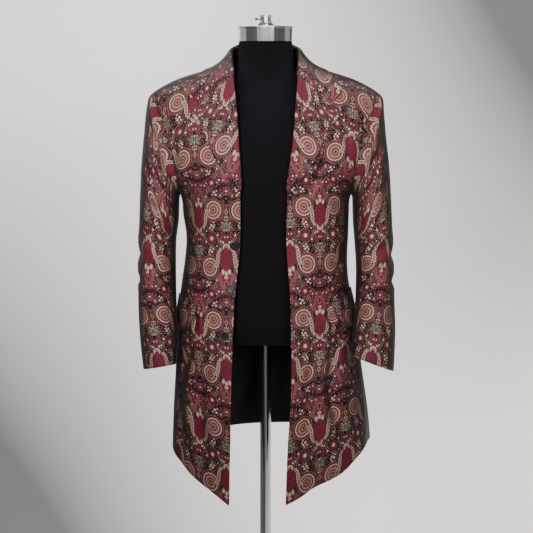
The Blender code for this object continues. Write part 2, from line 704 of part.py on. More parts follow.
def sleeve(side):
    rings = sleeve_rings(side)
    around = rings.shape[1]
    wrapped = np.concatenate([rings[:, -2:], rings, rings[:, :3]], axis=1)
    normals = np.cross(np.gradient(wrapped, axis=0), np.gradient(wrapped, axis=1))
    normals = unit(normals[:, 2:-3])
    outward = rings - rings.mean(axis=1, keepdims=True)
    normals *= np.sign((normals * outward).sum())
    normals[0] = unit(rings[0] - rings[0].mean(axis=0))
    inner = rings - normals * CLOTH
    columns = np.arange(around + 1) % around
    front_seam, back_seam = FRONT_SEAM_STEP, around - BACK_SEAM_STEP
    upper = np.concatenate([np.arange(back_seam, around), np.arange(0, front_seam + 1)])
    under = np.arange(front_seam, back_seam + 1)
    for part_name, chosen in (("top", upper), ("under", under)):
        chosen = columns[chosen]
        name = f"{SIDE_NAMES[side]}_{part_name}_sleeve"
        outer_face, inner_face = rings[:, chosen].copy(), inner[:, chosen].copy()
        for edge, beside in ((0, 1), (-1, -2)):
            step = unit(outer_face[:, beside] - outer_face[:, edge]) * SEAM
            outer_face[:, edge] += step
            inner_face[:, edge] += step
        wall(name, outer_face, inner_face, brocade())


def flap(side):
    shape = FLAPS[side]
    rows, columns = 5, 9
    down = np.linspace(0, 1, rows)[:, None]
    over = np.linspace(0, 1, columns)[None, :]
    start = shape.front_top + (shape.front_foot - shape.front_top) * down
    angle = start + (shape.back - start) * over
    z = shape.front_z + (shape.back_z - shape.front_z) * over - shape.drop * down
    points, normals = shell(angle, z, side), shell_normals(angle, z, side)
    lift = 0.0010 + 0.0010 * down + shape.lift * down**2 * (1 - over) ** 2
    inner = points + normals * lift[..., None]
    name = SIDE_NAMES[side] + "_pocket_flap"
    return wall(name, inner + normals * CLOTH, inner, brocade())


def button(number, place):
    """A round button with a raised rim, standing on its shank's height off the right front."""
    z = np.array([place.z])
    angle = angle_at(place.x, z, RIGHT)
    spot = shell(angle, z, RIGHT)[0]
    normal = shell_normals(angle, z, RIGHT)[0]
    rim, dish = BUTTON_RADIUS, BUTTON_RADIUS * 0.72
    profile = [
        (0, 0), (rim * 0.86, 0), (rim, BUTTON_THICK * 0.42), (rim * 0.93, BUTTON_THICK),
        (dish, BUTTON_THICK * 0.98), (dish * 0.9, BUTTON_THICK * 0.66), (0, BUTTON_THICK * 0.66),
    ]
    made = turned(f"front_button_{number}", profile, horn(), steps=20)
    side_way = unit(np.cross([0.0, 0.0, 1.0], normal))
    up_way = np.cross(normal, side_way)
    at = spot + normal * BUTTON_LIFT
    for vert in made.data.vertices:
        x, y, height = vert.co
        vert.co = tuple(at + side_way * x + up_way * y + normal * height)
    return made


def form_torso():
    """The limbless form as rings closed at the bottom and the neck."""
    turn = 2 * np.pi * np.arange(FORM_ROUND) / FORM_ROUND
    verts, faces = [], []
    for ring in FORMS:
        sine, cosine = np.sin(turn), np.cos(turn)
        across = ring.half * np.sign(sine) * np.abs(sine) ** (2 / ring.power)
        depth = np.where(cosine > 0, ring.front, ring.back)
        along = -depth * np.sign(cosine) * np.abs(cosine) ** (2 / ring.power)
        verts += [(x, y, ring.z) for x, y in zip(across, along)]
    for low in range(len(FORMS) - 1):
        for step in range(FORM_ROUND):
            after = (step + 1) % FORM_ROUND
            here, above = low * FORM_ROUND, (low + 1) * FORM_ROUND
            faces.append((here + step, here + after, above + after, above + step))
    faces.append(tuple(reversed(range(FORM_ROUND))))
    faces.append(tuple(range(len(verts) - FORM_ROUND, len(verts))))
    return closed_mesh("form_torso", verts, faces, jersey())


def form_hardware():
    """Chrome cap, clamp ring, pole end and thumb screw on the neck, and the pole and base below."""
    neck_z = FORMS[-1].z + GAP
    cap_z = neck_z + CAP_HEIGHT
    turned("form_neck_cap", [
        (0, neck_z), (CAP_RADIUS - 0.002, neck_z), (CAP_RADIUS - 0.001, cap_z - 0.004),
        (CAP_RADIUS + CAP_LIP, cap_z - 0.003), (CAP_RADIUS + CAP_LIP, cap_z - 0.0008),
        (CAP_RADIUS, cap_z), (0, cap_z),
    ], chrome())
    clamp_z = cap_z + GAP
    clamp_top = clamp_z + CLAMP_HEIGHT
    turned("form_clamp_ring", [
        (0, clamp_z), (CLAMP_RADIUS, clamp_z), (CLAMP_RADIUS, clamp_z + CLAMP_HEIGHT * 0.55),
        (CLAMP_RADIUS - 0.0035, clamp_top), (0, clamp_top),
    ], chrome())
    foot = clamp_top + GAP
    top = foot + FINIAL_HEIGHT
    turned("form_pole_end", [
        (0, foot), (FINIAL_RADIUS, foot), (FINIAL_RADIUS, foot + 0.0028), (FINIAL_WAIST, foot + 0.0036),
        (FINIAL_WAIST, top - 0.0036), (FINIAL_RADIUS, top - 0.0028), (FINIAL_RADIUS, top - 0.0008),
        (FINIAL_RADIUS - 0.0008, top), (0, top),
    ], chrome())
    turned("form_thumb_screw", [
        (0, 0), (SCREW_RADIUS, 0), (SCREW_RADIUS, SCREW_LENGTH * 0.45),
        (SCREW_HEAD, SCREW_LENGTH * 0.5), (SCREW_HEAD, SCREW_LENGTH * 0.92),
        (SCREW_HEAD * 0.8, SCREW_LENGTH), (0, SCREW_LENGTH),
    ], chrome(), steps=16, at=(-FINIAL_WAIST - GAP, 0.0, (foot + top) / 2), axis="X")
    socket_top = BASE_HEIGHT + SOCKET_HEIGHT
    turned("form_base", [
        (0, 0), (BASE_RADIUS - 0.002, 0), (BASE_RADIUS, 0.002), (BASE_RADIUS, BASE_EDGE - 0.003),
        (BASE_RADIUS - 0.003, BASE_EDGE), (BASE_RADIUS * 0.6, BASE_EDGE + 0.006),
        (SOCKET_RADIUS + 0.012, BASE_HEIGHT), (SOCKET_RADIUS, BASE_HEIGHT + 0.006),
        (SOCKET_RADIUS, socket_top - 0.002), (SOCKET_RADIUS - 0.002, socket_top), (0, socket_top),
    ], chrome(), steps=48)
    turned("form_pole", [
        (0, socket_top + GAP), (POLE_RADIUS, socket_top + GAP),
        (POLE_RADIUS, FORMS[0].z - GAP), (0, FORMS[0].z - GAP),
    ], chrome(), steps=32)


def build():
    for old in list(bpy.data.objects):
        bpy.data.objects.remove(old, do_unlink=True)
    for side in (LEFT, RIGHT):
        panel(SIDE_NAMES[side] + "_front", side, False)
        panel(SIDE_NAMES[side] + "_back", side, True)
        lapel(side)
        sleeve(side)
        flap(side)
    collar()
    lining()
    for number, place in enumerate(BUTTONS, start=1):
        button(number, place)
    form_torso()
    form_hardware()


build()
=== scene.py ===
"""Looks of the frock coat on its dress form: the cloth pieces, the form, its stand and the studio.

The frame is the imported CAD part, in metres: +Z up, the coat's front towards -Y, the wearer's left
at +X. Every cloth piece is a thin closed wall on the same surfaces that the CAD pieces follow,
drawn finer and with the creases that the cloth takes when it hangs.
"""

from collections import namedtuple

import bpy
import numpy as np
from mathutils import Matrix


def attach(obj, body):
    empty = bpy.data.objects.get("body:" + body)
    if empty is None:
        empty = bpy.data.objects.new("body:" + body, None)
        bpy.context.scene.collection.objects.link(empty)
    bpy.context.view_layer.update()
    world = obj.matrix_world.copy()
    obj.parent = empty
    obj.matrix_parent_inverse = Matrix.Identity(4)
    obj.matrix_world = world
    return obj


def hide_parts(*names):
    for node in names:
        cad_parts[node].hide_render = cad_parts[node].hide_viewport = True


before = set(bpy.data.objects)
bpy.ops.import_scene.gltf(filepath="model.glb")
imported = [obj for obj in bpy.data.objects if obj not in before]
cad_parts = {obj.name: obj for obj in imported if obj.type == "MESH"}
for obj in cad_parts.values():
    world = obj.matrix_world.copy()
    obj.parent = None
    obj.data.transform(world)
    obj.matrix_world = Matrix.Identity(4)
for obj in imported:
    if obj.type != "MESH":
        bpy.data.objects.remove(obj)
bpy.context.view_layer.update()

# --------------------------------------------------
# The coat's sizes. The panels are cut to these girths, edges and hems, and hang from the
# shoulder line of the form. Angles run round the body from the front centre to the back.
CLOTH = 0.0025  # brocade with its interlining
LINING = 0.0012  # satin
SEAM = 0.00015  # each edge draws back this far, which leaves 0.3 mm at a seam
LINING_GAP = 0.0006

ARMPIT_Z = 1.137
YOKE_POWER = 2.3  # how squarely the chest rounds over into the shoulder
NECK_X = 0.080  # where the shoulder seam meets the collar
TIP_X = 0.243  # where the shoulder seam meets the sleeve
NAPE_Z = 1.437
ROLL_TOP_Z = 1.395  # where lapel and collar meet on the roll line
FIRST_RISE = 0.25  # a first guess at the shoulder's height above the armpit
SHOULDER_STEPS, ROLL_STEPS = 12, 8  # steps in which a guess settles on a line
HALF_STEP = 0.4  # degrees either way in which a surface's slope is measured

ACROSS = 73  # points from a front edge, or the centre back, to the side
ARMHOLE_STEPS = 50  # rows from the shoulder tip down to the armpit
NECK_PART = 0.3  # the part of those rows that ends on the back's neck
SKIRT_STEPS = 96  # rows from the armpit down to the hem

LEFT, RIGHT = 1, -1
SIDE_NAMES = {LEFT: "left", RIGHT: "right"}


def columns(names, *rows):
    """A table's rows of numbers as named columns."""
    return dict(zip(names.split(), np.array(rows, float).T))


# Half widths of the coat on each side, and its depth before and behind the pole.
GIRTHS = columns(
    "z left right front back power",
    (0.46, 0.243, 0.216, 0.150, 0.168, 2.15),
    (0.58, 0.236, 0.210, 0.146, 0.160, 2.15),
    (0.67, 0.227, 0.206, 0.142, 0.152, 2.20),
    (0.76, 0.214, 0.200, 0.137, 0.142, 2.20),
    (0.90, 0.194, 0.192, 0.130, 0.122, 2.25),
    (0.95, 0.184, 0.185, 0.126, 0.113, 2.30),
    (1.00, 0.181, 0.178, 0.124, 0.109, 2.30),
    (1.05, 0.183, 0.175, 0.125, 0.113, 2.30),
    (1.09, 0.184, 0.181, 0.128, 0.120, 2.30),
    (1.137, 0.188, 0.187, 0.130, 0.130, 2.30),
    (1.18, 0.214, 0.212, 0.131, 0.134, 2.30),
    (1.24, 0.240, 0.239, 0.130, 0.135, 2.30),
    (1.30, 0.253, 0.252, 0.130, 0.133, 2.30),
    (1.364, 0.262, 0.262, 0.130, 0.130, 2.30),
    (1.45, 0.270, 0.270, 0.130, 0.130, 2.30),
)

# Height of the shoulder line. Inside the neck it is carried on as the root of the collar.
RIDGES = columns(
    "x z",
    (0.000, 1.500),
    (0.040, 1.470),
    (0.080, 1.430),
    (0.112, 1.4145),
    (0.143, 1.406),
    (0.170, 1.398),
    (0.198, 1.388),
    (0.220, 1.377),
    (0.243, 1.363),
    (0.270, 1.340),
)

# Roll line and front edge of each front.
EDGES = columns(
    "z left right",
    (0.470, 0.0440, 0.0797),
    (0.610, 0.0492, 0.0765),
    (0.705, 0.0553, 0.0748),
    (0.855, 0.0552, 0.0701),
    (0.942, 0.0525, 0.0655),
    (1.050, 0.0455, 0.0557),
    (1.155, 0.0480, 0.0543),
    (1.250, 0.0610, 0.0600),
    (1.320, 0.0672, 0.0645),
    (1.368, 0.0705, 0.0690),
    (1.412, 0.0750, 0.0750),
    (1.430, 0.0800, 0.0800),
)

# The armhole's place across the coat, seen from the front.
ARMHOLES = columns(
    "z x",
    (1.137, 0.1880),
    (1.187, 0.1940),
    (1.215, 0.1990),
    (1.246, 0.2050),
    (1.274, 0.2120),
    (1.305, 0.2220),
    (1.325, 0.2320),
    (1.363, 0.2430),
)

# Hem height: 0 is the front edge, 1 the side seam and 2 the centre back.
HEMS = columns(
    "part left right",
    (0.00, 0.4735, 0.4705),
    (0.09, 0.4890, 0.4860),
    (0.18, 0.5080, 0.5000),
    (0.33, 0.5250, 0.5190),
    (0.44, 0.5380, 0.5320),
    (0.59, 0.5640, 0.5525),
    (0.75, 0.5840, 0.5660),
    (0.92, 0.5890, 0.5750),
    (1.00, 0.5895, 0.5770),
    (1.45, 0.5930, 0.5780),
    (2.00, 0.5860, 0.5860),
)

# Soft folds: the angle round the body and height where each starts, the height where it ends, its
# half width in degrees, its depth and how far round its foot leans.
Fold = namedtuple("Fold", "side angle top bottom spread depth lean")
FOLDS = (
    Fold(LEFT, 66, 0.86, 0.40, 7, 0.0050, -6),
    Fold(LEFT, 82, 0.80, 0.40, 6, -0.0060, -4),
    Fold(LEFT, 97, 0.78, 0.40, 7, 0.0055, 0),
    Fold(RIGHT, 72, 0.80, 0.40, 8, 0.0040, -5),
    Fold(RIGHT, 92, 0.76, 0.40, 7, -0.0045, 0),
    Fold(LEFT, 132, 0.90, 0.40, 9, 0.0070, 6),
    Fold(LEFT, 156, 0.92, 0.40, 9, -0.0060, 4),
    Fold(RIGHT, 128, 0.90, 0.40, 9, 0.0065, 7),
    Fold(RIGHT, 152, 0.94, 0.40, 9, -0.0060, 3),
    Fold(RIGHT, 17, 1.13, 0.86, 7, -0.0060, 3),
    Fold(LEFT, 14, 1.12, 0.92, 6, -0.0035, 2),
)

# The lapel: a height on the roll line and the point of the outer edge level with it.
LAPELS = columns(
    "part roll_z edge_x edge_z",
    (0.00, 1.157, 0.0620, 1.150),
    (0.20, 1.205, 0.0843, 1.193),
    (0.42, 1.250, 0.1110, 1.233),
    (0.66, 1.305, 0.1307, 1.280),
    (0.88, 1.360, 0.1540, 1.308),
    (1.00, ROLL_TOP_Z, 0.1660, 1.316),
)

# The collar from the lapel round to the nape. Its outer edge lies at x and a tilt in degrees:
# 90 is the shoulder line, less is in front of it and more is behind it.
COLLARS = columns(
    "part leaf_x leaf_tilt stand upright",
    (0.00, 0.1380, 45.5, 0.003, 0.0),
    (0.13, 0.1620, 56.5, 0.006, 0.2),
    (0.30, 0.1440, 74, 0.012, 0.7),
    (0.46, 0.1180, 92, 0.020, 1.0),
    (0.66, 0.0960, 115, 0.028, 1.0),
    (0.84, 0.0500, 128, 0.033, 1.0),
    (1.00, 0.0000, 131.5, 0.035, 1.0),
)
SHOULDER_PART = 0.46  # the part of the collar that ends at the shoulder seam
GORGE_TILT = 59  # where the collar's seam starts on the front
TURN_GAP = 0.0009  # between a turned layer's root and the edge that it is sewn to
GORGE_EASE = 0.35  # the part of the collar over which it leaves the line of the lapel
FOLD_RADIUS = 0.0030
TURN_LIFT = 0.0030  # middle of a turned layer above the panel it lies on
TURNED_CUT = (0.021, 0.060)  # where the figure falls on a turned layer
LAPEL_SLANT = 28  # degrees that a lapel is cut off the cloth's length
LAPEL_LIFTS = {LEFT: 0.0065, RIGHT: 0.0}  # how far the lapel's edge stands off the front

# Sleeve rings: outline in front view (outer and inner side), middle and half depth, turn of the
# oval about the vertical and how far its front stands above its back.
Ring = namedtuple("Ring", "outer_x outer_z inner_x inner_z y depth turn rise")
SLEEVES = {
    LEFT: (
        Ring(0.2570, 1.348, 0.1905, 1.134, 0.003, 0.080, 0, 0.000),
        Ring(0.2605, 1.310, 0.1915, 1.124, 0.002, 0.081, 0, 0.000),
        Ring(0.2665, 1.250, 0.1920, 1.104, 0.000, 0.079, 0, 0.000),
        Ring(0.2740, 1.180, 0.1930, 1.074, -0.003, 0.075, 0, 0.000),
        Ring(0.2790, 1.080, 0.1960, 1.036, -0.010, 0.071, 1, 0.004),
        Ring(0.2815, 0.985, 0.1990, 0.975, -0.026, 0.067, 4, 0.008),
        Ring(0.2840, 0.908, 0.1965, 0.910, -0.048, 0.063, 9, 0.012),
        Ring(0.2850, 0.855, 0.1935, 0.866, -0.067, 0.060, 14, 0.014),
        Ring(0.2830, 0.810, 0.1890, 0.828, -0.083, 0.057, 19, 0.015),
        Ring(0.2800, 0.765, 0.1850, 0.792, -0.096, 0.055, 24, 0.015),
    ),
    RIGHT: (
        Ring(0.2555, 1.350, 0.1890, 1.134, 0.003, 0.080, 0, 0.000),
        Ring(0.2620, 1.318, 0.1900, 1.124, 0.002, 0.081, 0, 0.000),
        Ring(0.2675, 1.262, 0.1905, 1.104, 0.000, 0.079, 0, 0.000),
        Ring(0.2740, 1.190, 0.1915, 1.078, -0.003, 0.075, 0, 0.000),
        Ring(0.2780, 1.090, 0.1965, 1.037, -0.010, 0.071, 0, 0.004),
        Ring(0.2800, 0.990, 0.1970, 0.984, -0.024, 0.067, 1, 0.006),
        Ring(0.2800, 0.908, 0.1955, 0.911, -0.042, 0.063, 3, 0.008),
        Ring(0.2775, 0.857, 0.1925, 0.862, -0.058, 0.060, 5, 0.010),
        Ring(0.2735, 0.812, 0.1925, 0.818, -0.070, 0.057, 7, 0.010),
        Ring(0.2675, 0.763, 0.1945, 0.773, -0.082, 0.055, 9, 0.010),
    ),
}
SLEEVE_ROUND = 50  # steps down the front of the armhole, and as many down its back
FRONT_SEAM_STEP = 35  # the two seams of a sleeve, in those steps from the shoulder tip
BACK_SEAM_STEP = 30

# Pocket flaps, as angles round the body and heights; the lift is at the free lower front corner.
Flap = namedtuple("Flap", "front_top front_foot back front_z back_z drop lift")
FLAPS = {
    LEFT: Flap(45.5, 52, 84, 0.910, 0.934, 0.060, 0.0090),
    RIGHT: Flap(48.5, 52, 84, 0.898, 0.920, 0.052, 0.0080),
}

BUTTON_RADIUS = 0.0095
BUTTON_THICK = 0.0034
BUTTON_LIFT = 0.0025
BUTTONS = ((0.0665, 1.038), (0.0765, 0.943), (0.0870, 0.842))  # x and z on the right front
HOLES = ((0.0674, 1.054), (0.0698, 0.957), (0.0807, 0.862))  # x and z on the left front
HOLE_LENGTH, HOLE_WIDTH, THREAD_RADIUS = 0.0210, 0.0022, 0.00055

LINING_ROW = ARMHOLE_STEPS + 17  # the back's row where its lining starts
LINING_HEM_PART = 0.70  # how far down the last row of the back the lining goes

# The dress form, bottom to top, as half width, front depth and back depth.
FORMS = columns(
    "z half front back power",
    (0.8150, 0.140, 0.090, 0.085, 2.2),
    (0.8200, 0.154, 0.101, 0.095, 2.2),
    (0.8350, 0.162, 0.107, 0.099, 2.2),
    (0.9000, 0.164, 0.109, 0.098, 2.2),
    (0.9800, 0.155, 0.104, 0.090, 2.2),
    (1.0500, 0.157, 0.107, 0.094, 2.2),
    (1.1300, 0.165, 0.114, 0.110, 2.3),
    (1.2000, 0.176, 0.116, 0.117, 2.3),
    (1.2650, 0.187, 0.109, 0.115, 2.3),
    (1.3150, 0.192, 0.093, 0.102, 2.3),
    (1.3500, 0.182, 0.076, 0.088, 2.2),
    (1.3750, 0.156, 0.065, 0.077, 2.1),
    (1.3920, 0.122, 0.059, 0.069, 2.0),
    (1.4060, 0.090, 0.057, 0.063, 2.0),
    (1.4200, 0.068, 0.056, 0.059, 2.0),
    (1.4400, 0.060, 0.056, 0.057, 2.0),
    (1.4720, 0.058, 0.056, 0.056, 2.0),
)
FORM_ROUND = 96


def on_curve(values, slopes, i, t, span=1.0):
    """A part t of the way from one value to the next on a curve with the given slopes."""
    return (
        values[i] * (1 + 2 * t) * (1 - t) ** 2
        + values[i + 1] * t * t * (3 - 2 * t)
        + span * (slopes[i] * t * (1 - t) ** 2 - slopes[i + 1] * t * t * (1 - t))
    )


def smooth(table, key, column, at):
    """A smooth curve through one column of a table, read at values of the key column."""
    known, values = table[key], table[column]
    at = np.clip(np.asarray(at, float), known[0], known[-1])
    i = np.clip(np.searchsorted(known, at) - 1, 0, len(known) - 2)
    span = known[i + 1] - known[i]
    return on_curve(values, np.gradient(values, known), i, (at - known[i]) / span, span)


def rounded(part, power):
    """The other coordinate of a superellipse quarter, for a part of its half width."""
    return np.clip(1 - np.abs(part) ** power, 0, 1) ** (1 / power)


def rounded_step(at):
    """0 below 0, 1 above 1 and a smooth rise between."""
    at = np.clip(at, 0, 1)
    return at * at * (3 - 2 * at)


def unit(vectors):
    return vectors / np.maximum(np.linalg.norm(vectors, axis=-1, keepdims=True), 1e-12)


def half_width(z, side):
    return smooth(GIRTHS, "z", SIDE_NAMES[side], z)


def girth_power(z):
    return smooth(GIRTHS, "z", "power", z)


def girth_depth(ahead, z):
    """The coat's depth before the pole where ahead is true, and behind it elsewhere."""
    return np.where(ahead, smooth(GIRTHS, "z", "front", z), smooth(GIRTHS, "z", "back", z))


def ridge_z(x):
    return smooth(RIDGES, "x", "z", np.abs(x))


def fold_depth(angle, z, side):
    """How far the soft folds push the cloth out, or in where it is negative."""
    depth = np.zeros(np.broadcast(angle, z).shape)
    for fold in (fold for fold in FOLDS if fold.side == side):
        run = np.clip((fold.top - z) / (fold.top - fold.bottom), 0, 1)
        # a fold that ends above the hem fades out there, and the others grow down to it
        growth = np.sin(np.pi * run) ** 2 if fold.bottom > HEMS["left"][0] else run**1.4
        middle = fold.angle + fold.lean * run
        depth = depth + fold.depth * growth * np.exp(-(((angle - middle) / fold.spread) ** 2))
    return depth


def shell(angle, z, side):
    """Points of the coat's outer face, by degrees from the front centre round to the back."""
    power = girth_power(z)
    turn = np.radians(np.clip(angle, 0, 180))
    across = half_width(z, side) * np.abs(np.sin(turn)) ** (2 / power)
    deep = np.abs(np.cos(turn)) ** (2 / power)
    depth = girth_depth(angle < 90, z)
    rise = np.clip((z - ARMPIT_Z) / (ridge_z(across) - ARMPIT_Z), 0, 1)
    along = -np.sign(90 - angle) * depth * deep * rounded(rise, YOKE_POWER)
    push = fold_depth(angle, z, side)
    x = side * (across + push * np.sin(turn))
    y = along - push * np.cos(turn)
    return np.stack([x, y, np.broadcast_to(z, x.shape)], axis=-1)


def angle_at(x, z, side, behind=False):
    """The angle round the body of a point at x, seen from the front or from behind."""
    part = np.clip(np.abs(x) / half_width(z, side), 0, 1)
    angle = np.degrees(np.arcsin(part ** (girth_power(z) / 2)))
    return 180 - angle if behind else angle


def yoke(x, tilt, side):
    """Points of the shoulder: a tilt of 90 is the shoulder line, 0 the chest and 180 the back."""
    turn = np.radians(tilt)
    rise = np.abs(np.sin(turn)) ** (2 / YOKE_POWER)
    z = ARMPIT_Z + (ridge_z(x) - ARMPIT_Z) * rise
    depth = girth_depth(tilt < 90, z)
    deep = depth * rounded(np.abs(x) / half_width(z, side), girth_power(z))
    y = -np.sign(np.cos(turn)) * deep * np.abs(np.cos(turn)) ** (2 / YOKE_POWER)
    return np.stack([side * np.abs(x) * np.ones_like(z), y, z], axis=-1)


def tilt_at(x, z):
    """The tilt of a point of the shoulder at x and z, counted from the chest or the back."""
    rise = np.clip((z - ARMPIT_Z) / (ridge_z(x) - ARMPIT_Z), 0, 1)
    return np.degrees(np.arcsin(rise ** (YOKE_POWER / 2)))


def shoulder(angle, tilt, side):
    """Points of the outer face above the armpit, by the angle round the body and the tilt."""
    turn, lean = np.radians(angle), np.radians(tilt)
    rise = np.abs(np.sin(lean)) ** (2 / YOKE_POWER)
    z = ARMPIT_Z + FIRST_RISE * rise
    for _ in range(SHOULDER_STEPS):
        power = girth_power(z)
        across = half_width(z, side) * np.abs(np.sin(turn)) ** (2 / power)
        z = ARMPIT_Z + (ridge_z(across) - ARMPIT_Z) * rise
    depth = girth_depth(angle < 90, z)
    deep = depth * np.abs(np.cos(turn)) ** (2 / power) * np.abs(np.cos(lean)) ** (2 / YOKE_POWER)
    push = fold_depth(angle, z, side)
    x = side * (across + push * np.sin(turn))
    y = -np.sign(90 - angle) * np.sign(90 - tilt) * deep - push * np.cos(turn)
    return np.stack([x, y, z], axis=-1)


def normals_of(place, first, second, side, step):
    """Outward unit normals of a surface function of two parameters."""
    one = place(first + HALF_STEP, second, side) - place(first - HALF_STEP, second, side)
    two = place(first, second + step, side) - place(first, second - step, side)
    normals = unit(np.cross(one, two))
    outwards = place(first, second, side) * [1.0, 1.0, 0.0]
    return normals * np.sign((normals * outwards).sum(axis=-1).mean())


def shell_normals(angle, z, side):
    return normals_of(shell, angle, z, side, 0.002)


def drawn_in(points):
    """The grid with each of its four edges drawn back by half a seam gap."""
    points = points.copy()
    for edge, inner in ((0, 1), (-1, -2)):
        points[edge] += unit(points[inner] - points[edge]) * SEAM
        points[:, edge] += unit(points[:, inner] - points[:, edge]) * SEAM
    return points


def neck_place(part):
    """The back of the neck seam, from the shoulder seam to the nape, as x and z."""
    along = part**1.5
    return NECK_X * (1 - along) ** 0.8, ridge_z(NECK_X) + (NAPE_Z - ridge_z(NECK_X)) * along


def roll_place(tilt, side):
    """The front edge at a tilt of the shoulder, as x and z."""
    rise = np.sin(np.radians(tilt)) ** (2 / YOKE_POWER)
    x = np.full_like(rise, NECK_X)
    for _ in range(ROLL_STEPS):
        z = ARMPIT_Z + (ridge_z(x) - ARMPIT_Z) * rise
        x = smooth(EDGES, "z", SIDE_NAMES[side], z)
    return x, z


def armhole(side, behind=False):
    """Angles and tilts of the armhole's points, from the shoulder tip to the armpit."""
    turn = np.pi * np.arange(ARMHOLE_STEPS + 1) / ARMHOLE_STEPS
    top = float(ridge_z(TIP_X))
    z = (top + ARMPIT_Z) / 2 + (top - ARMPIT_Z) / 2 * np.cos(turn)
    x = smooth(ARMHOLES, "z", "x", z)
    angles = angle_at(x, z, side, behind)
    angles[-1] = 90
    tilts = tilt_at(x, z)
    tilts[0] = 90
    return angles, tilts


def panel_rows(side, behind):
    """Points and normals of a front or a back, a row for each step down and a column across."""
    name = SIDE_NAMES[side]
    upper = np.arange(ARMHOLE_STEPS + 1) / ARMHOLE_STEPS
    lower = np.arange(1, SKIRT_STEPS + 1) / SKIRT_STEPS
    part = np.linspace(0, 1, ACROSS)
    hem = smooth(HEMS, "part", name, 2 - part if behind else part)
    low_z = ARMPIT_Z + (hem[0] - ARMPIT_Z) * lower
    if behind:
        neck_x, neck_z = neck_place(np.clip(upper / NECK_PART, 0, 1))
        down_centre = np.clip((upper - NECK_PART) / (1 - NECK_PART), 0, 1)
        top_x, top_z = neck_x, neck_z + (ARMPIT_Z - NAPE_Z) * down_centre
        low_x = np.zeros(SKIRT_STEPS)
    else:
        top_x, top_z = roll_place(90 * (1 - upper), side)
        low_x = smooth(EDGES, "z", name, low_z)
    outer_angle, outer_tilt = armhole(side, behind)

    def across(inner, outer):
        return inner[:, None] + (outer - inner)[:, None] * part

    angle = across(angle_at(top_x, top_z, side, behind), outer_angle)
    inner_tilt = tilt_at(top_x, top_z)
    inner_tilt[0] = 90
    tilt = across(inner_tilt, outer_tilt)
    top = shoulder(angle, tilt, side)
    top[0, :, 1] = 0.0
    top_normals = normals_of(shoulder, angle, tilt, side, HALF_STEP)
    top_normals[-1] = shell_normals(angle[-1], np.full(ACROSS, ARMPIT_Z), side)

    low_angle = across(angle_at(low_x, low_z, side, behind), np.full(SKIRT_STEPS, 90.0))
    low_outer = ARMPIT_Z + (hem[-1] - ARMPIT_Z) * lower
    straight = across(low_z, low_outer)
    z = straight + (lower**2)[:, None] * (hem - straight[-1])
    skirt, skirt_normals = shell(low_angle, z, side), shell_normals(low_angle, z, side)
    return np.concatenate([top, skirt]), np.concatenate([top_normals, skirt_normals])


# --------------------------------------------------
# The cloth of every outer piece: a satin-ground brocade. One figure is drawn once in a field of
# half a repeat by half a repeat, and folding and half turns of that field give the whole pattern.
REPEAT_U, REPEAT_V = 0.135, 0.242  # across and along the cloth
TURN_LOW, TURN_HIGH = -0.0455, 0.0755  # heights of the half-turn centres from the blob's centre
BURGUNDY = (0.080, 0.010, 0.022)
WINE = (0.110, 0.013, 0.027)
TAN = (0.205, 0.140, 0.100)
ROSE = (0.175, 0.066, 0.060)
CREAM = (0.395, 0.325, 0.235)
OLIVE = (0.040, 0.034, 0.028)
CHARCOAL = (0.006, 0.003, 0.005)
PAINTED_SIDE_SHADE = (0.004, 0.003, 0.003)  # painted shade: how dark the satin's colour is made where it turns away
# painted sheen: the grey laid into the satin's colour at grazing angles
SHEEN_GREY = (0.065, 0.070, 0.070)


class Sum:
    """A value in a shader, so that its arithmetic can be written out plainly."""

    def __init__(self, tree, socket):
        self.tree, self.socket = tree, socket

    def fill(self, place, value):
        if isinstance(value, Sum):
            self.tree.links.new(value.socket, place)
        else:
            place.default_value = value

    def node(self, kind, settings, *inputs, **named):
        """The outputs of a new node, with its settings made and its inputs filled."""
        made = self.tree.nodes.new(kind)
        for name, value in settings.items():
            setattr(made, name, value)
        for place, value in zip([i for i in made.inputs if i.enabled], inputs):
            self.fill(place, value)
        for name, value in named.items():
            self.fill(made.inputs[name], value)
        return [Sum(self.tree, out) for out in made.outputs if out.enabled]

    def maths(self, operation, *inputs):
        return self.node("ShaderNodeMath", {"operation": operation}, self, *inputs)[0]

    def vector(self, operation, *inputs, **named):
        settings = {"operation": operation}
        return self.node("ShaderNodeVectorMath", settings, self, *inputs, **named)[0]

    def __add__(self, other):
        return self.maths("ADD", other)

    def __radd__(self, other):
        return self.maths("ADD", other)

    def __sub__(self, other):
        return self.maths("SUBTRACT", other)

    def __rsub__(self, other):
        return self.node("ShaderNodeMath", {"operation": "SUBTRACT"}, other, self)[0]

    def __mul__(self, other):
        return self.maths("MULTIPLY", other)

    def __rmul__(self, other):
        return self.maths("MULTIPLY", other)

    def __truediv__(self, other):
        return self.maths("DIVIDE", other)

    def __abs__(self):
        return self.maths("ABSOLUTE")

    def least(self, other):
        return self.maths("MINIMUM", other)

    def most(self, other):
        return self.maths("MAXIMUM", other)

    def clipped(self):
        return self.most(0.0).least(1.0)

    def below(self, limit, soft=0.0005):
        """1 where the value is below the limit and 0 where it is above, with a soft edge."""
        return self.node("ShaderNodeMapRange", {}, self, limit - soft, limit + soft, 1.0, 0.0)[0]

    def between(self, low, high):
        return self.below(high) * (1.0 - self.below(low))

    def laid(self, *layers):
        """This colour with others laid over it in turn, each where its mask is 1."""
        under = self
        for tone, mask in layers:
            made = self.tree.nodes.new("ShaderNodeMix")
            made.data_type = "RGBA"
            for place, value in ((0, mask), (6, under), (7, tone)):
                self.fill(made.inputs[place], value)
            under = Sum(self.tree, made.outputs[2])
        return under


def colour(first, value):
    """A plain colour as a shader value."""
    made = first.tree.nodes.new("ShaderNodeRGB")
    made.outputs[0].default_value = (*value, 1.0)
    return Sum(first.tree, made.outputs[0])


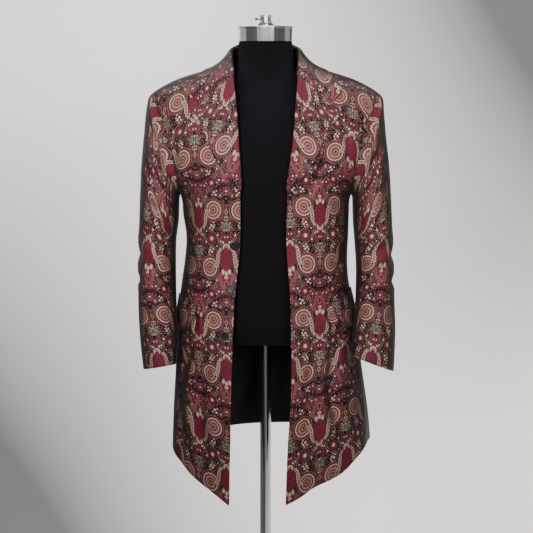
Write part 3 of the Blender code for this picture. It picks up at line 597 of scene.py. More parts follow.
def field_of(whole):
    """The folded field: x from a motif's axis and y above its blob's centre, in metres."""
    u, v, _ = whole.node("ShaderNodeSeparateXYZ", {}, whole)
    x = u.maths("PINGPONG", REPEAT_U / 2)
    y = v.maths("WRAP", TURN_LOW + REPEAT_V, TURN_LOW)
    turned = y.maths("GREATER_THAN", TURN_HIGH)
    x = x + turned * (REPEAT_U / 2 - 2.0 * x)
    y = y + turned * (2 * TURN_HIGH - 2.0 * y)
    return x, y, x.node("ShaderNodeCombineXYZ", {}, x, y, 0.0)[0]


def away(point, x, y, wide=1.0, tall=1.0):
    """Distance from a place in the field, measured in an oval's terms."""
    if (wide, tall) != (1.0, 1.0):
        point = point.vector("DIVIDE", (wide, tall, 1.0))
    return point.vector("DISTANCE", (x / wide, y / tall, 0.0))


def circles(point, *places):
    """Distance outside the nearest of some circles, each given by x, y and its radius."""
    nearest = None
    for x, y, radius in places:
        one = away(point, x, y) - radius
        nearest = one if nearest is None else nearest.least(one)
    return nearest


def figure(whole):
    """Colour of the woven figure, layer over layer from the ground up."""
    x, y, point = field_of(whole)
    burgundy, wine, rose, tan, cream, olive, charcoal = (
        colour(x, tone) for tone in (BURGUNDY, WINE, ROSE, TAN, CREAM, OLIVE, CHARCOAL)
    )
    quarter = REPEAT_U / 4

    def cells(size, seed, loose=1.0):
        """Distance from the middles of scattered cells, and a number picked for each cell."""
        spot = point.vector("ADD", (seed, seed * 0.7, 0.0))
        near, tone, *_ = spot.node("ShaderNodeTexVoronoi", {"voronoi_dimensions": "2D"},
                                   Vector=spot, Scale=1 / size, Randomness=loose)
        return near * size, tone.node("ShaderNodeSeparateColor", {}, tone)[0]

    # ground: wine and charcoal patches, sown with small ringed dots
    patch, patch_pick = cells(0.0135, 0.31)
    leaf, leaf_pick = cells(0.0062, 0.77)
    seed, seed_pick = cells(0.0042, 1.93, 0.9)
    some_patches = 1.0 - patch_pick.below(0.55, 0.02)
    ground = burgundy.laid(
        (charcoal, patch_pick.below(0.18, 0.03)),
        (olive, leaf.below(0.0019) * leaf_pick.below(0.40, 0.02)),
        (wine, leaf.below(0.0022) * (1.0 - leaf_pick.below(0.72, 0.02))),
        (tan, seed.below(0.00085, 0.0003) * seed_pick.below(0.52, 0.02)),
        (wine, patch.below(0.0036) * some_patches),
        (cream, patch.below(0.0016) * some_patches),
    )

    # long double lines on a dark band, that bend past the flower oval on either side
    for centre_x, centre_y, radius, low_x, high_x, high_y in (
        (0.027, TURN_LOW + 0.026, 0.0500, 0.008 - quarter, 0.0, TURN_LOW + 0.014),
        (-0.027, TURN_LOW - 0.026, 0.0500, -0.010, 0.019, TURN_LOW + 0.023),
        (0.034, TURN_HIGH - 0.038, 0.0480, 0.021 - quarter, 0.012, TURN_HIGH),
    ):
        off = abs(away(point, quarter + centre_x, centre_y) - radius)
        part = x.between(quarter + low_x, quarter + high_x) * y.below(high_y)
        lines = abs(off - 0.0017).below(0.00065, 0.0004)
        ground = ground.laid((charcoal, off.below(0.0034) * part), (tan, lines * part))

    # flower ovals on the two half-turn centres: dark rim, wine halo and a cream flower
    for height, size in ((TURN_LOW, 0.0118), (TURN_HIGH, 0.0092)):
        oval = away(point, quarter, height, 0.86, 1.0)
        ground = ground.laid(
            (charcoal, oval.below(size + 0.0012)),
            (wine, oval.below(size)),
            (burgundy, abs(oval - size * 0.62).below(0.0007)),
            (tan, oval.below(size * 0.44)),
            (cream, oval.below(size * 0.30)),
        )

    # cream sprigs of a few petals each, and the lace star between the spirals with its pointed tip
    petals = circles(
        point,
        (0.0330, -0.0165, 0.0026), (0.0375, -0.0205, 0.0024), (0.0300, -0.0225, 0.0020),
        (0.0405, -0.0155, 0.0018), (0.0350, -0.0265, 0.0016), (0.0440, 0.0500, 0.0024),
        (0.0400, 0.0555, 0.0026), (0.0455, 0.0585, 0.0018), (0.0360, 0.0500, 0.0017),
        (0.0170, 0.0690, 0.0021), (0.0120, -0.0400, 0.0021), (0.0480, -0.0375, 0.0024),
        (0.0210, -0.0300, 0.0016), (0.0500, 0.0330, 0.0020), (0.0205, 0.0450, 0.0019),
    )
    middle = abs(x - REPEAT_U / 2)
    star = middle / 0.0150 + abs(y + 0.0160) / 0.0215
    tip = middle / 0.0042 + abs(y - 0.0135) / 0.0085
    knot, knot_pick = cells(0.0031, 0.13, 0.75)
    lace = olive.laid((cream, knot.below(0.00075, 0.0003)), (charcoal, knot_pick.below(0.22, 0.02)))
    ground = ground.laid(
        (charcoal, petals.below(0.0009)),
        (cream, petals.below(0.0, 0.0003)),
        (lace, star.below(1.0, 0.05)),
        (tan, tip.below(1.0, 0.08)),
        (burgundy, tip.below(0.5, 0.08)),
    )

    # pointed arch above the blob, with an almond and a flower inside
    narrow = ((0.0800 - y) / 0.044).clipped() * ((y - 0.020) / 0.016).clipped()
    arch = abs(x) / (0.0195 * narrow + 0.0002)
    almond = away(point, 0.0, 0.0535, 0.50, 1.0)
    bloom = away(point, 0.0, 0.0385, 1.25, 1.0)
    ground = ground.laid(
        (rose, arch.below(1.0, 0.06)),
        (charcoal, abs(arch - 0.80).below(0.035, 0.03)),
        (wine, arch.below(0.60, 0.05)),
        (tan, almond.below(0.0088)),
        (burgundy, almond.below(0.0068)),
        (cream, bloom.below(0.0032)),
        (wine, bloom.below(0.0013)),
    )

    # spiral: rings that turn inwards round its centre, the cream ones scalloped
    turn = (y - 0.0175).maths("ARCTAN2", x - 0.0375)
    reach = away(point, 0.0375, 0.0175, 1.03, 1.10)
    wound = reach + turn * 0.00045
    ripple = wound - abs((turn * 8.5).maths("SINE")) * 0.0013
    coil = charcoal.laid(*(
        (tone, rings.below(edge)) for tone, rings, edge in (
            (tan, wound, 0.0226), (charcoal, wound, 0.0217), (wine, wound, 0.0207),
            (charcoal, wound, 0.0176), (cream, ripple, 0.0168), (rose, ripple, 0.0150),
            (wine, ripple, 0.0134), (tan, ripple, 0.0112), (rose, wound, 0.0088),
            (wine, wound, 0.0072), (tan, wound, 0.0050), (wine, wound, 0.0030),
        )
    ))

    # scalloped tail from the spiral's eye down beside the blob
    beads = circles(
        point,
        (0.0255, 0.0150, 0.0040), (0.0215, 0.0105, 0.0044), (0.0195, 0.0045, 0.0047),
        (0.0185, -0.0025, 0.0046), (0.0180, -0.0095, 0.0044), (0.0160, -0.0160, 0.0040),
        (0.0125, -0.0215, 0.0036),
    )

    # blob with its crescent, the flames above it and the dots below
    ends = (abs(y + 0.0005) - 0.0100).most(0.0)
    blob = (x * x + ends * ends).maths("SQRT")
    flame = away(point, 0.0068, 0.0262, 0.62, 1.0).least(away(point, 0.0, 0.0300, 0.55, 1.0))
    crescent = away(point, 0.0, -0.0275)
    dots = away(point, 0.0072, -0.0378)
    return ground.laid(
        (coil, reach.below(0.0234)),
        (charcoal, beads.below(0.0010)),
        (cream, beads.below(0.0, 0.0003)),
        (tan, beads.below(-0.0010, 0.0004)),
        (rose, beads.below(-0.0024, 0.0006)),
        (charcoal, away(point, 0.0250, 0.0195).below(0.0020)),
        (charcoal, blob.below(0.0141)),
        (wine, blob.below(0.0132)),
        (charcoal, blob.below(0.0118) * seed.below(0.00065, 0.0003)),
        (tan, flame.below(0.0062)),
        (cream, flame.below(0.0036)),
        (charcoal, crescent.below(0.0086)),
        (tan, crescent.below(0.0077)),
        (cream, abs(crescent - 0.0066).below(0.0010)),
        (wine, away(point, 0.0, -0.0222).below(0.0054)),
        (wine, dots.below(0.0044)),
        (cream, dots.below(0.0023)),
    )


def material(name, settings):
    """A new material with its main shader set, its node tree and that shader."""
    made = bpy.data.materials.new(name)
    made.use_nodes = True
    shader = made.node_tree.nodes["Principled BSDF"]
    for setting, value in settings.items():
        shader.inputs[setting].default_value = value
    return made, made.node_tree, shader


def brocade():
    """The brocade as a material: the figure's colours with painted shade and painted sheen at
    grazing angles, satin sheen, and a woven surface.
    """
    made, tree, shader = material("Brocade", {
        "Roughness": 0.5, "Specular IOR Level": 0.07, "Sheen Weight": 0.015,
        "Sheen Roughness": 0.4, "Sheen Tint": (0.75, 0.80, 0.82, 1.0),
    })
    source = tree.nodes.new("ShaderNodeUVMap")
    source.uv_map = "cloth"
    whole = Sum(tree, source.outputs[0])
    threads = whole.vector("MULTIPLY", (1.0, 0.45, 1.0))
    slub, worn = (
        place.node("ShaderNodeTexNoise", {"noise_dimensions": "2D"},
                   Vector=place, Scale=scale, Detail=detail)[0]
        for place, scale, detail in ((threads, 900.0, 1.0), (whole, 14.0, 3.0))
    )
    light = (slub * 0.55 + 0.72) * (worn * 0.35 + 0.83)
    toned = figure(whole).vector("SCALE", Scale=light)
    facing = tree.nodes.new("ShaderNodeLayerWeight")
    facing.inputs["Blend"].default_value = 0.5
    graze = Sum(tree, facing.outputs["Facing"])
    # painted shade darkens the colour where the cloth turns away, and painted grey sheen is laid
    # over the most grazing parts
    seen = toned.laid(
        (colour(whole, PAINTED_SIDE_SHADE), (graze * graze * 1.8 + graze * 0.36).least(0.92)),
        (colour(whole, SHEEN_GREY), (graze * graze * graze * 0.45).least(0.4)),
    )
    bump = whole.node("ShaderNodeBump", {}, Strength=0.35, Distance=0.0006, Height=slub)[0]
    tree.links.new(seen.socket, shader.inputs["Base Color"])
    tree.links.new(bump.socket, shader.inputs["Normal"])
    return made


# --------------------------------------------------
# How a cloth piece is made: a grid of points on its outer face, its creases pressed in, a wall one
# cloth thick with a rounded edge, and a map in metres that lays the figure on it.
# A crease is a soft trough (depth below 0) or ridge between two points of a view: its start, its
# end, its half width and its depth. The points are x and z from the front and the back, and y and z
# from the sides.
VIEWS = {
    "front": (0, (0, -1, 0)), "back": (0, (0, 1, 0)),
    "left": (1, (1, 0, 0)), "right": (1, (-1, 0, 0)),
}
CREASE_BOW = 0.10  # how far a crease bows, as a part of its length
CREASE_BANK = 0.35  # height of the bank that the cloth throws up on either side of it
BANK_PLACE = 1.9  # and that bank's distance, in half widths


def pressed(points, normals, creases):
    """The grid with its creases pushed in or out along the normals."""
    push = np.zeros(points.shape[:2])
    for view, rows in creases.items():
        axis, towards = VIEWS[view]
        here = np.stack([points[..., axis], points[..., 2]], axis=-1)
        seen = np.clip((normals @ np.array(towards, float)) * 1.6, 0, 1)
        for a, b, a_end, b_end, width, depth in rows:
            run = np.array([a_end - a, b_end - b])
            length = np.linalg.norm(run)
            part = np.clip(((here - (a, b)) @ run) / length**2, 0, 1)
            arch = np.clip(np.sin(np.pi * part), 0, 1)
            bow = CREASE_BOW * length * arch * np.sign(depth)
            off = ((here - (a, b)) @ (-run[1], run[0])) / length - bow
            sides = off / (width * (0.7 + 0.5 * part))
            banks = CREASE_BANK * np.exp(-((np.abs(sides) - BANK_PLACE) ** 2) * 2)
            push += depth * (np.exp(-(sides**2)) - banks) * arch**0.7 * seen
    return points + normals * push[..., None]


def run_along(points, axis):
    """Distance along each row (axis 1) or column (axis 0) of a grid of points, from its start."""
    steps = np.linalg.norm(np.diff(points, axis=axis), axis=-1)
    start = np.zeros_like(np.take(steps, [0], axis=axis))
    return np.concatenate([start, np.cumsum(steps, axis=axis)], axis=axis)


def laid_out(points, start):
    """The cloth's own map of a grid, in metres: u along its rows and v up its columns."""
    rises = np.diff(points, axis=0)
    rises = np.sign(-rises[..., 2]) * np.hypot(rises[..., 1], rises[..., 2])
    v = -np.concatenate([np.zeros((1, points.shape[1])), np.cumsum(rises, axis=0)], axis=0)
    level = v[start] - points[start, :, 2]
    return run_along(points[..., :2], 1), v - level


def linked(name, verts, faces, made_of):
    """A new smooth mesh object in the scene."""
    mesh = bpy.data.meshes.new(name)
    mesh.from_pydata(verts, [], faces)
    mesh.materials.append(made_of)
    mesh.shade_smooth()
    made = bpy.data.objects.new(name, mesh)
    bpy.context.scene.collection.objects.link(made)
    return made


def cloth_wall(name, points, normals, thick, u, v, outside, inside=None):
    """A closed wall between the grid and one thickness behind it, with a rounded rim."""
    rows, columns = points.shape[:2]
    count = rows * columns
    inner = points - normals * thick
    index = np.arange(count).reshape(rows, columns)
    quads = np.stack([index[:-1, :-1], index[1:, :-1], index[1:, 1:], index[:-1, 1:]], axis=-1)
    quads = quads.reshape(-1, 4)
    rim = np.concatenate([index[0], index[1:, -1], index[-1, -2::-1], index[-2:0:-1, 0]])
    beside = np.concatenate([index[1], index[1:, -2], index[-2, -2::-1], index[-2:0:-1, 1]])
    flat, flat_inner = points.reshape(-1, 3).copy(), inner.reshape(-1, 3).copy()
    out = unit(flat[rim] - flat[beside])
    middle = (flat[rim] + flat_inner[rim]) / 2 + out * thick * 0.35
    nudged = out * thick * 0.1
    flat[rim] -= nudged
    flat_inner[rim] -= nudged
    verts = np.concatenate([flat, flat_inner, middle])
    here = np.arange(len(rim))
    after = np.roll(here, -1)
    upper = np.stack([rim, rim[after], 2 * count + after, 2 * count + here], axis=-1)
    lower = np.stack([2 * count + here, 2 * count + after, rim[after] + count, rim + count], -1)
    faces = np.concatenate([quads, quads[:, ::-1] + count, upper, lower])
    made = linked(name, verts.tolist(), faces.tolist(), outside)
    mesh = made.data
    volume = (verts[faces[:, 0]] * np.cross(verts[faces[:, 1]], verts[faces[:, 2]])).sum()
    volume += (verts[faces[:, 0]] * np.cross(verts[faces[:, 2]], verts[faces[:, 3]])).sum()
    if volume < 0:
        mesh.flip_normals()
    uv = np.stack([u.reshape(-1), v.reshape(-1)], axis=-1)
    uv = np.concatenate([uv, uv, uv[rim]])
    layer = mesh.uv_layers.new(name="cloth")
    corners = np.zeros(len(mesh.loops), np.int32)
    mesh.loops.foreach_get("vertex_index", corners)
    layer.data.foreach_set("uv", uv[corners].astype(np.float32).ravel())
    if inside is not None:
        mesh.materials.append(inside)
        shown = np.zeros(len(faces), np.int32)
        shown[len(quads): 2 * len(quads)] = 1
        mesh.polygons.foreach_set("material_index", shown)
    return made


def ours(made, slot, *nodes):
    """The piece rides with the object and stands for its CAD nodes, which are hidden; the slot is
    not used.
    """
    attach(made, "root")
    if nodes:
        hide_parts(*nodes)


def plain(name, base, roughness, metallic=0.0, specular=0.5):
    return material(name, {
        "Base Color": (*base, 1.0), "Roughness": roughness, "Metallic": metallic,
        "Specular IOR Level": specular,
    })[0]


BROCADE = brocade()
SATIN = plain("Lining satin", (0.0030, 0.0026, 0.0032), 0.40, specular=0.15)
HORN = plain("Button horn", (0.007, 0.008, 0.010), 0.38, specular=0.22)
THREAD = plain("Thread", (0.020, 0.010, 0.012), 0.7)
JERSEY = plain("Form jersey", (0.0036, 0.0030, 0.0042), 0.85, specular=0.06)
CHROME = plain("Chrome", (0.60, 0.59, 0.58), 0.16, metallic=1.0)


def brocade_piece(node, points, normals, u, v, inside=None):
    """A wall of brocade that stands for its CAD node."""
    made = cloth_wall("brocade_" + node, points, normals, CLOTH, u, v, BROCADE, inside)
    ours(made, "brocade", node)


# --------------------------------------------------
# Fronts and backs: brocade panels sewn at the shoulders, the side seams and the centre back, and
# lined with black satin. They hang from the form's shoulders and stand open at the front.
CUTS = {LEFT: (0.015, 0.1050), RIGHT: (-0.017, -0.1287)}  # where the figure falls on each side
FLARE_TOP, FLARE_DEEP = 0.98, 0.34  # where the skirt's flare starts, and how soon it is full
FLARE_CLIMB, FLARE_LEVEL = 0.28, 0.07  # slope of the figure there, and where across it stays level
FRONT_CREASES = {
    LEFT: {
        "front": (
            (0.150, 1.335, 0.206, 1.240, 0.010, -0.0030),
            (0.178, 1.300, 0.196, 1.200, 0.007, -0.0022),
            (0.118, 1.215, 0.160, 1.130, 0.011, -0.0022),
            (0.064, 1.130, 0.134, 1.243, 0.008, -0.0070),
            (0.130, 1.020, 0.178, 1.058, 0.012, 0.0022),
            (0.120, 0.985, 0.176, 0.990, 0.008, -0.0022),
            (0.070, 0.960, 0.120, 0.975, 0.007, -0.0014),
            (0.072, 0.860, 0.125, 0.890, 0.008, -0.0013),
            (0.118, 0.840, 0.128, 0.560, 0.013, -0.0070),
            (0.158, 0.840, 0.182, 0.590, 0.012, -0.0090),
            (0.190, 0.830, 0.224, 0.590, 0.013, 0.0060),
            (0.137, 0.914, 0.155, 0.850, 0.006, -0.0065),
            (0.080, 0.760, 0.078, 0.500, 0.016, 0.0026),
            (0.100, 0.680, 0.104, 0.490, 0.009, -0.0022),
        ),
    },
    RIGHT: {
        "front": (
            (-0.148, 1.335, -0.204, 1.235, 0.010, -0.0030),
            (-0.176, 1.298, -0.194, 1.195, 0.007, -0.0022),
            (-0.120, 1.210, -0.165, 1.120, 0.012, -0.0022),
            (-0.070, 1.160, -0.112, 1.222, 0.008, -0.0040),
            (-0.128, 1.010, -0.176, 1.050, 0.012, 0.0020),
            (-0.115, 0.975, -0.172, 0.985, 0.008, -0.0022),
            (-0.078, 0.945, -0.122, 0.970, 0.007, -0.0014),
            (-0.118, 0.800, -0.124, 0.560, 0.013, -0.0055),
            (-0.160, 0.820, -0.178, 0.580, 0.012, -0.0075),
            (-0.142, 0.902, -0.153, 0.848, 0.006, -0.0065),
            (-0.090, 0.740, -0.092, 0.500, 0.015, 0.0024),
        ),
    },
}
BACK_CREASES = {
    LEFT: {
        "back": (
            (0.030, 1.010, 0.150, 1.050, 0.012, -0.0024),
            (0.040, 0.980, 0.160, 0.990, 0.009, -0.0018),
            (0.150, 1.330, 0.200, 1.220, 0.011, -0.0028),
            (0.120, 0.820, 0.130, 0.600, 0.014, -0.0040),
            (0.055, 0.860, 0.060, 0.600, 0.016, 0.0036),
        ),
    },
    RIGHT: {
        "back": (
            (-0.035, 1.015, -0.148, 1.045, 0.012, -0.0024),
            (-0.050, 0.975, -0.155, 0.985, 0.009, -0.0018),
            (-0.148, 1.325, -0.198, 1.215, 0.011, -0.0028),
            (-0.118, 0.810, -0.126, 0.600, 0.014, -0.0040),
            (-0.060, 0.850, -0.066, 0.600, 0.016, 0.0034),
        ),
    },
}
for side in (LEFT, RIGHT):
    for behind, part_name, creases in (
        (False, "front", FRONT_CREASES[side]), (True, "back", BACK_CREASES[side]),
    ):
        points, normals = panel_rows(side, behind)
        # at a seam both pieces share a normal, which lies in the seam's own plane
        normals[0, :, 1] = 0.0
        normals[ARMHOLE_STEPS:, -1, 1] = 0.0
        if behind:
            normals[round(NECK_PART * ARMHOLE_STEPS):, 0, 0] = 0.0
        normals = unit(normals)
        points = drawn_in(pressed(points, normals, creases))
        u, v = laid_out(points, ARMHOLE_STEPS)
        shift_u, shift_v = CUTS[side]
        u, v = u + np.abs(points[:, :1, 0]) + shift_u, v + shift_v
        if not behind:  # the skirt flares, so the figure climbs towards the side there
            below_waist = rounded_step((FLARE_TOP - points[..., 2]) / FLARE_DEEP)
            v = v - FLARE_CLIMB * (u - shift_u - FLARE_LEVEL) * below_waist
        brocade_piece(f"{SIDE_NAMES[side]}_{part_name}", points, normals, u, v, SATIN)

# --------------------------------------------------
# Skirt lining: black satin hung inside the back, sewn at the side seams and shorter than the hem.
halves = []
for side in (LEFT, RIGHT):
    points, normals = panel_rows(side, True)
    normals[:, 0, 0] = 0.0
    normals = unit(normals)
    points = pressed(points, normals, BACK_CREASES[side])
    inner = (points - normals * (CLOTH + LINING_GAP))[LINING_ROW:]
    inner[-1] = inner[-2] + (inner[-1] - inner[-2]) * LINING_HEM_PART
    halves.append((inner[:, :-1], normals[LINING_ROW:, :-1]))
(one, one_lean), (two, two_lean) = halves
points = np.concatenate([one[:, ::-1], two[:, 1:]], axis=1)
normals = np.concatenate([one_lean[:, ::-1], two_lean[:, 1:]], axis=1)
u, v = laid_out(points, 0)
lining = cloth_wall("satin_skirt_lining", points, normals, LINING, u, v, SATIN)
ours(lining, "lining_satin", "skirt_lining")

# --------------------------------------------------
# Lapels and collar: each turns over on a fold and lies on the front or the back. The lapels are
# the front facings turned out, cut on the slant; the collar is sewn to the neck and the gorge.


def turned_sheet(node, seam, inward, normal, upright, stand_up, out, stand, fall, slant):
    """A wall that rises from a seam, folds over and lies back down over a panel."""
    stands = stand.max() > 0.01
    root = seam - inward * (TURN_GAP + CLOTH / 2 * upright)[:, None] - normal * CLOTH / 2
    top = root + stand_up * stand[:, None]
    centre = top + out * FOLD_RADIUS
    lines = [root + (top - root) * part for part in ((0, 0.25, 0.5, 0.75) if stands else (0,))]
    for turn in np.linspace(np.pi, 0, 13)[0 if stands else 1:]:
        lines.append(centre + (stand_up * np.sin(turn) + out * np.cos(turn)) * FOLD_RADIUS)
    shift = lines[-1] - fall[:, 0]
    ease = (1 - np.linspace(0, 1, fall.shape[1])) ** 2
    lines += [fall[:, i] + shift * ease[i] for i in range(1, fall.shape[1])]
    middle = np.stack(lines, axis=1)
    middle[0] += unit(middle[1] - middle[0]) * SEAM * 2
    middle[-1] += unit(middle[-2] - middle[-1]) * SEAM * 2
    lean = unit(np.cross(np.gradient(middle, axis=0), np.gradient(middle, axis=1)))
    across = run_along(middle, 1)
    along = run_along(middle, 0).mean(axis=1, keepdims=True)
    turn = np.radians(slant)
    u = TURNED_CUT[0] + across * np.cos(turn) + along * np.sin(turn)
    v = TURNED_CUT[1] - across * np.sin(turn) + along * np.cos(turn)
    brocade_piece(node, middle + lean * CLOTH / 2, lean, u, v)


for side in (LEFT, RIGHT):
    part = np.linspace(0, 1, 61)
    roll_z, edge_x, edge_z = (
        smooth(LAPELS, "part", column, part) for column in ("roll_z", "edge_x", "edge_z")
    )
    roll_x = smooth(EDGES, "z", SIDE_NAMES[side], roll_z)
    over = np.linspace(0, 1, 31)
    z = roll_z[:, None] + (edge_z - roll_z)[:, None] * over
    x = roll_x[:, None] + (edge_x - roll_x)[:, None] * over
    angle = angle_at(x, z, side)
    points, normals = shell(angle, z, side), shell_normals(angle, z, side)
    inward = unit(points[:, 1] - points[:, 0])
    raised = LAPEL_LIFTS[side] * np.sin(np.pi * np.clip(part / 0.62, 0, 1)) ** 2
    fall = points + normals * (TURN_LIFT + raised[:, None] * over**2)[..., None]
    turned_sheet(
        SIDE_NAMES[side] + "_lapel", points[:, 0], inward, normals[:, 0], np.zeros(61), -inward,
        normals[:, 0], np.zeros(61), fall, LAPEL_SLANT,
    )


def gorge_tilts(x, side):
    """Tilts of the straight seam between lapel and collar, which ends at the lapel's point."""
    tip_x, tip_z = LAPELS["edge_x"][-1], LAPELS["edge_z"][-1]
    roll_x = float(smooth(EDGES, "z", SIDE_NAMES[side], ROLL_TOP_Z))
    return tilt_at(x, ROLL_TOP_Z + (tip_z - ROLL_TOP_Z) * (x - roll_x) / (tip_x - roll_x))


part = np.concatenate([np.linspace(0, SHOULDER_PART, 37)[:-1], np.linspace(SHOULDER_PART, 1, 37)])
over = np.linspace(0, 1, 31)
halves = []
for side in (RIGHT, LEFT):
    ahead = part <= SHOULDER_PART
    front_tilt = GORGE_TILT + (90 - GORGE_TILT) * np.clip(part / SHOULDER_PART, 0, 1)
    roll_x, _ = roll_place(front_tilt, side)
    neck_x, neck_z = neck_place(np.clip((part - SHOULDER_PART) / (1 - SHOULDER_PART), 0, 1))
    seam_x = np.where(ahead, roll_x, neck_x)
    seam_tilt = np.where(ahead, front_tilt, 180 - tilt_at(neck_x, neck_z))
    leaf_x, leaf_tilt, stand, upright = (
        smooth(COLLARS, "part", column, part)
        for column in ("leaf_x", "leaf_tilt", "stand", "upright")
    )
    x = seam_x[:, None] + (leaf_x - seam_x)[:, None] * over
    tilt = seam_tilt[:, None] + (leaf_tilt - seam_tilt)[:, None] * over
    gorge = gorge_tilts(x[0], side) - tilt[0]
    tilt = tilt + gorge * (np.clip(1 - part / GORGE_EASE, 0, 1) ** 2)[:, None]
    points = yoke(x, tilt, side)
    across = unit(yoke(x + 0.001, tilt, side) - points)
    along = unit(yoke(x, tilt + 1.0, side) - points)
    normals = unit(np.cross(across, along)) * side
    halves.append((points, normals, stand, upright))
points, normals, stand, upright = (np.concatenate([a[:-1], b[::-1]]) for a, b in zip(*halves))
inward = unit(points[:, 1] - points[:, 0])
radial = unit(points[:, 0] * [1, 1, 0])
lean = unit(np.array([0.0, 0.0, 1.0]) - 0.22 * radial)
stand_up = unit(-inward * (1 - upright)[:, None] + lean * upright[:, None])
out = normals[:, 0] * (1 - upright)[:, None] + radial * upright[:, None]
out = unit(out - stand_up * (out * stand_up).sum(axis=1, keepdims=True))
turned_sheet(
    "collar", points[:, 0], inward, normals[:, 0], upright, stand_up, out, stand,
    points + normals * TURN_LIFT, 0,
)

# --------------------------------------------------
# Sleeves: two pieces each, a top sleeve and a narrower under sleeve, set into the armhole and bent
# at the elbow. They hang free of the skirt, hollow, with a plain cuff.
SLEEVE_CREASES = {
    LEFT: {
        "front": (
            (0.205, 1.060, 0.268, 1.115, 0.012, -0.0067),
            (0.210, 1.010, 0.270, 1.040, 0.010, -0.0075),
            (0.208, 0.965, 0.262, 0.985, 0.009, -0.0067),
            (0.212, 1.180, 0.262, 1.290, 0.014, -0.0060),
            (0.240, 1.120, 0.262, 1.220, 0.012, 0.0045),
            (0.205, 0.905, 0.255, 0.935, 0.008, -0.0053),
            (0.225, 0.850, 0.275, 0.880, 0.010, -0.0037),
        ),
        "left": (
            (-0.060, 1.000, 0.020, 1.040, 0.014, -0.0060),
            (-0.070, 0.950, 0.010, 0.970, 0.011, -0.0054),
        ),
        "back": (
            (0.205, 1.050, 0.268, 1.090, 0.014, -0.0060),
        ),
    },
    RIGHT: {
        "front": (
            (-0.205, 1.070, -0.266, 1.125, 0.012, -0.0067),
            (-0.208, 1.020, -0.270, 1.050, 0.010, -0.0075),
            (-0.206, 0.970, -0.262, 0.995, 0.009, -0.0067),
            (-0.210, 1.185, -0.260, 1.295, 0.014, -0.0060),
            (-0.238, 1.125, -0.262, 1.225, 0.012, 0.0045),
            (-0.205, 0.910, -0.255, 0.935, 0.008, -0.0053),
            (-0.222, 0.850, -0.268, 0.880, 0.010, -0.0037),
        ),
        "right": (
            (-0.055, 1.005, 0.020, 1.045, 0.014, -0.0060),
            (-0.065, 0.955, 0.010, 0.975, 0.011, -0.0054),
        ),
        "back": (
            (-0.205, 1.055, -0.268, 1.095, 0.014, -0.0060),
        ),
    },
}
RINGS_BETWEEN = 9
SLEEVE_CUT = 1.37  # height of the figure at the top of the sleeves


def armhole_ring(side):
    """The armhole as one ring from the shoulder tip, down the front and up the back."""
    halves = []
    for behind in (False, True):
        points = shoulder(*armhole(side, behind), side)
        points[0, 1] = 0.0
        halves.append(points)
    front, back = halves
    return np.concatenate([front, back[-2:0:-1]])


def sleeve_rings(side):
    """Rings of the sleeve's outer face from the armhole to the cuff."""
    turn = 2 * np.pi * np.arange(2 * SLEEVE_ROUND) / (2 * SLEEVE_ROUND)
    seam = armhole_ring(side)
    seam += unit(seam.mean(axis=0) - seam) * 2 * SEAM + np.array([side * 2 * SEAM, 0, 0])
    rings = [seam]
    for ring in SLEEVES[side]:
        swing = np.radians(ring.turn)
        reach = (ring.outer_x - ring.inner_x) / 2
        flat = np.sqrt(reach**2 - (ring.depth * np.sin(swing)) ** 2) / np.cos(swing)
        middle = np.array([
            side * (ring.outer_x + ring.inner_x) / 2, ring.y, (ring.outer_z + ring.inner_z) / 2
        ])
        outwards = np.array([
            side * flat * np.cos(swing), -flat * np.sin(swing), (ring.outer_z - ring.inner_z) / 2
        ])
        forwards = np.array([
            -side * ring.depth * np.sin(swing), -ring.depth * np.cos(swing), ring.rise
        ])
        rings.append(middle + np.cos(turn)[:, None] * outwards + np.sin(turn)[:, None] * forwards)
    return np.stack(rings)


def finer(rings, between):
    """The rings with more between them, on smooth curves through the given ones."""
    at = np.linspace(0, len(rings) - 1, (len(rings) - 1) * between + 1)
    i = np.clip(at.astype(int), 0, len(rings) - 2)
    return on_curve(rings, np.gradient(rings, axis=0), i, (at - i)[:, None, None])


for side in (LEFT, RIGHT):
    rings = finer(sleeve_rings(side), RINGS_BETWEEN)
    around = rings.shape[1]
    wrapped = np.concatenate([rings[:, -2:], rings, rings[:, :3]], axis=1)
    normals = np.cross(np.gradient(wrapped, axis=0), np.gradient(wrapped, axis=1))
    normals = unit(normals[:, 2:-3])
    outward = rings - rings.mean(axis=1, keepdims=True)
    normals *= np.sign((normals * outward).sum())
    radial = unit(rings[0] - rings[0].mean(axis=0))
    ease = np.clip(1 - np.arange(len(rings)) / RINGS_BETWEEN, 0, 1)[:, None, None]
    normals = unit(normals * (1 - ease) + radial * ease)
    rings = pressed(rings, normals, SLEEVE_CREASES[side])
    down = run_along(rings.mean(axis=1, keepdims=True), 0)
    unrolled = np.arange(-BACK_SEAM_STEP, around - BACK_SEAM_STEP + 1) % around
    rings, normals = rings[:, unrolled], normals[:, unrolled]
    u = run_along(rings, 1)
    u -= u[:, BACK_SEAM_STEP, None]
    v = SLEEVE_CUT - np.tile(down, (1, around + 1))
    front_seam = BACK_SEAM_STEP + FRONT_SEAM_STEP
    for part_name, its in (("top", slice(front_seam + 1)), ("under", slice(front_seam, None))):
        node = f"{SIDE_NAMES[side]}_{part_name}_sleeve"
        grid = rings[:, its].copy()
        for edge, beside in ((0, 1), (-1, -2)):
            grid[:, edge] += unit(grid[:, beside] - grid[:, edge]) * SEAM
        brocade_piece(node, grid, normals[:, its], u[:, its], v[:, its], SATIN)

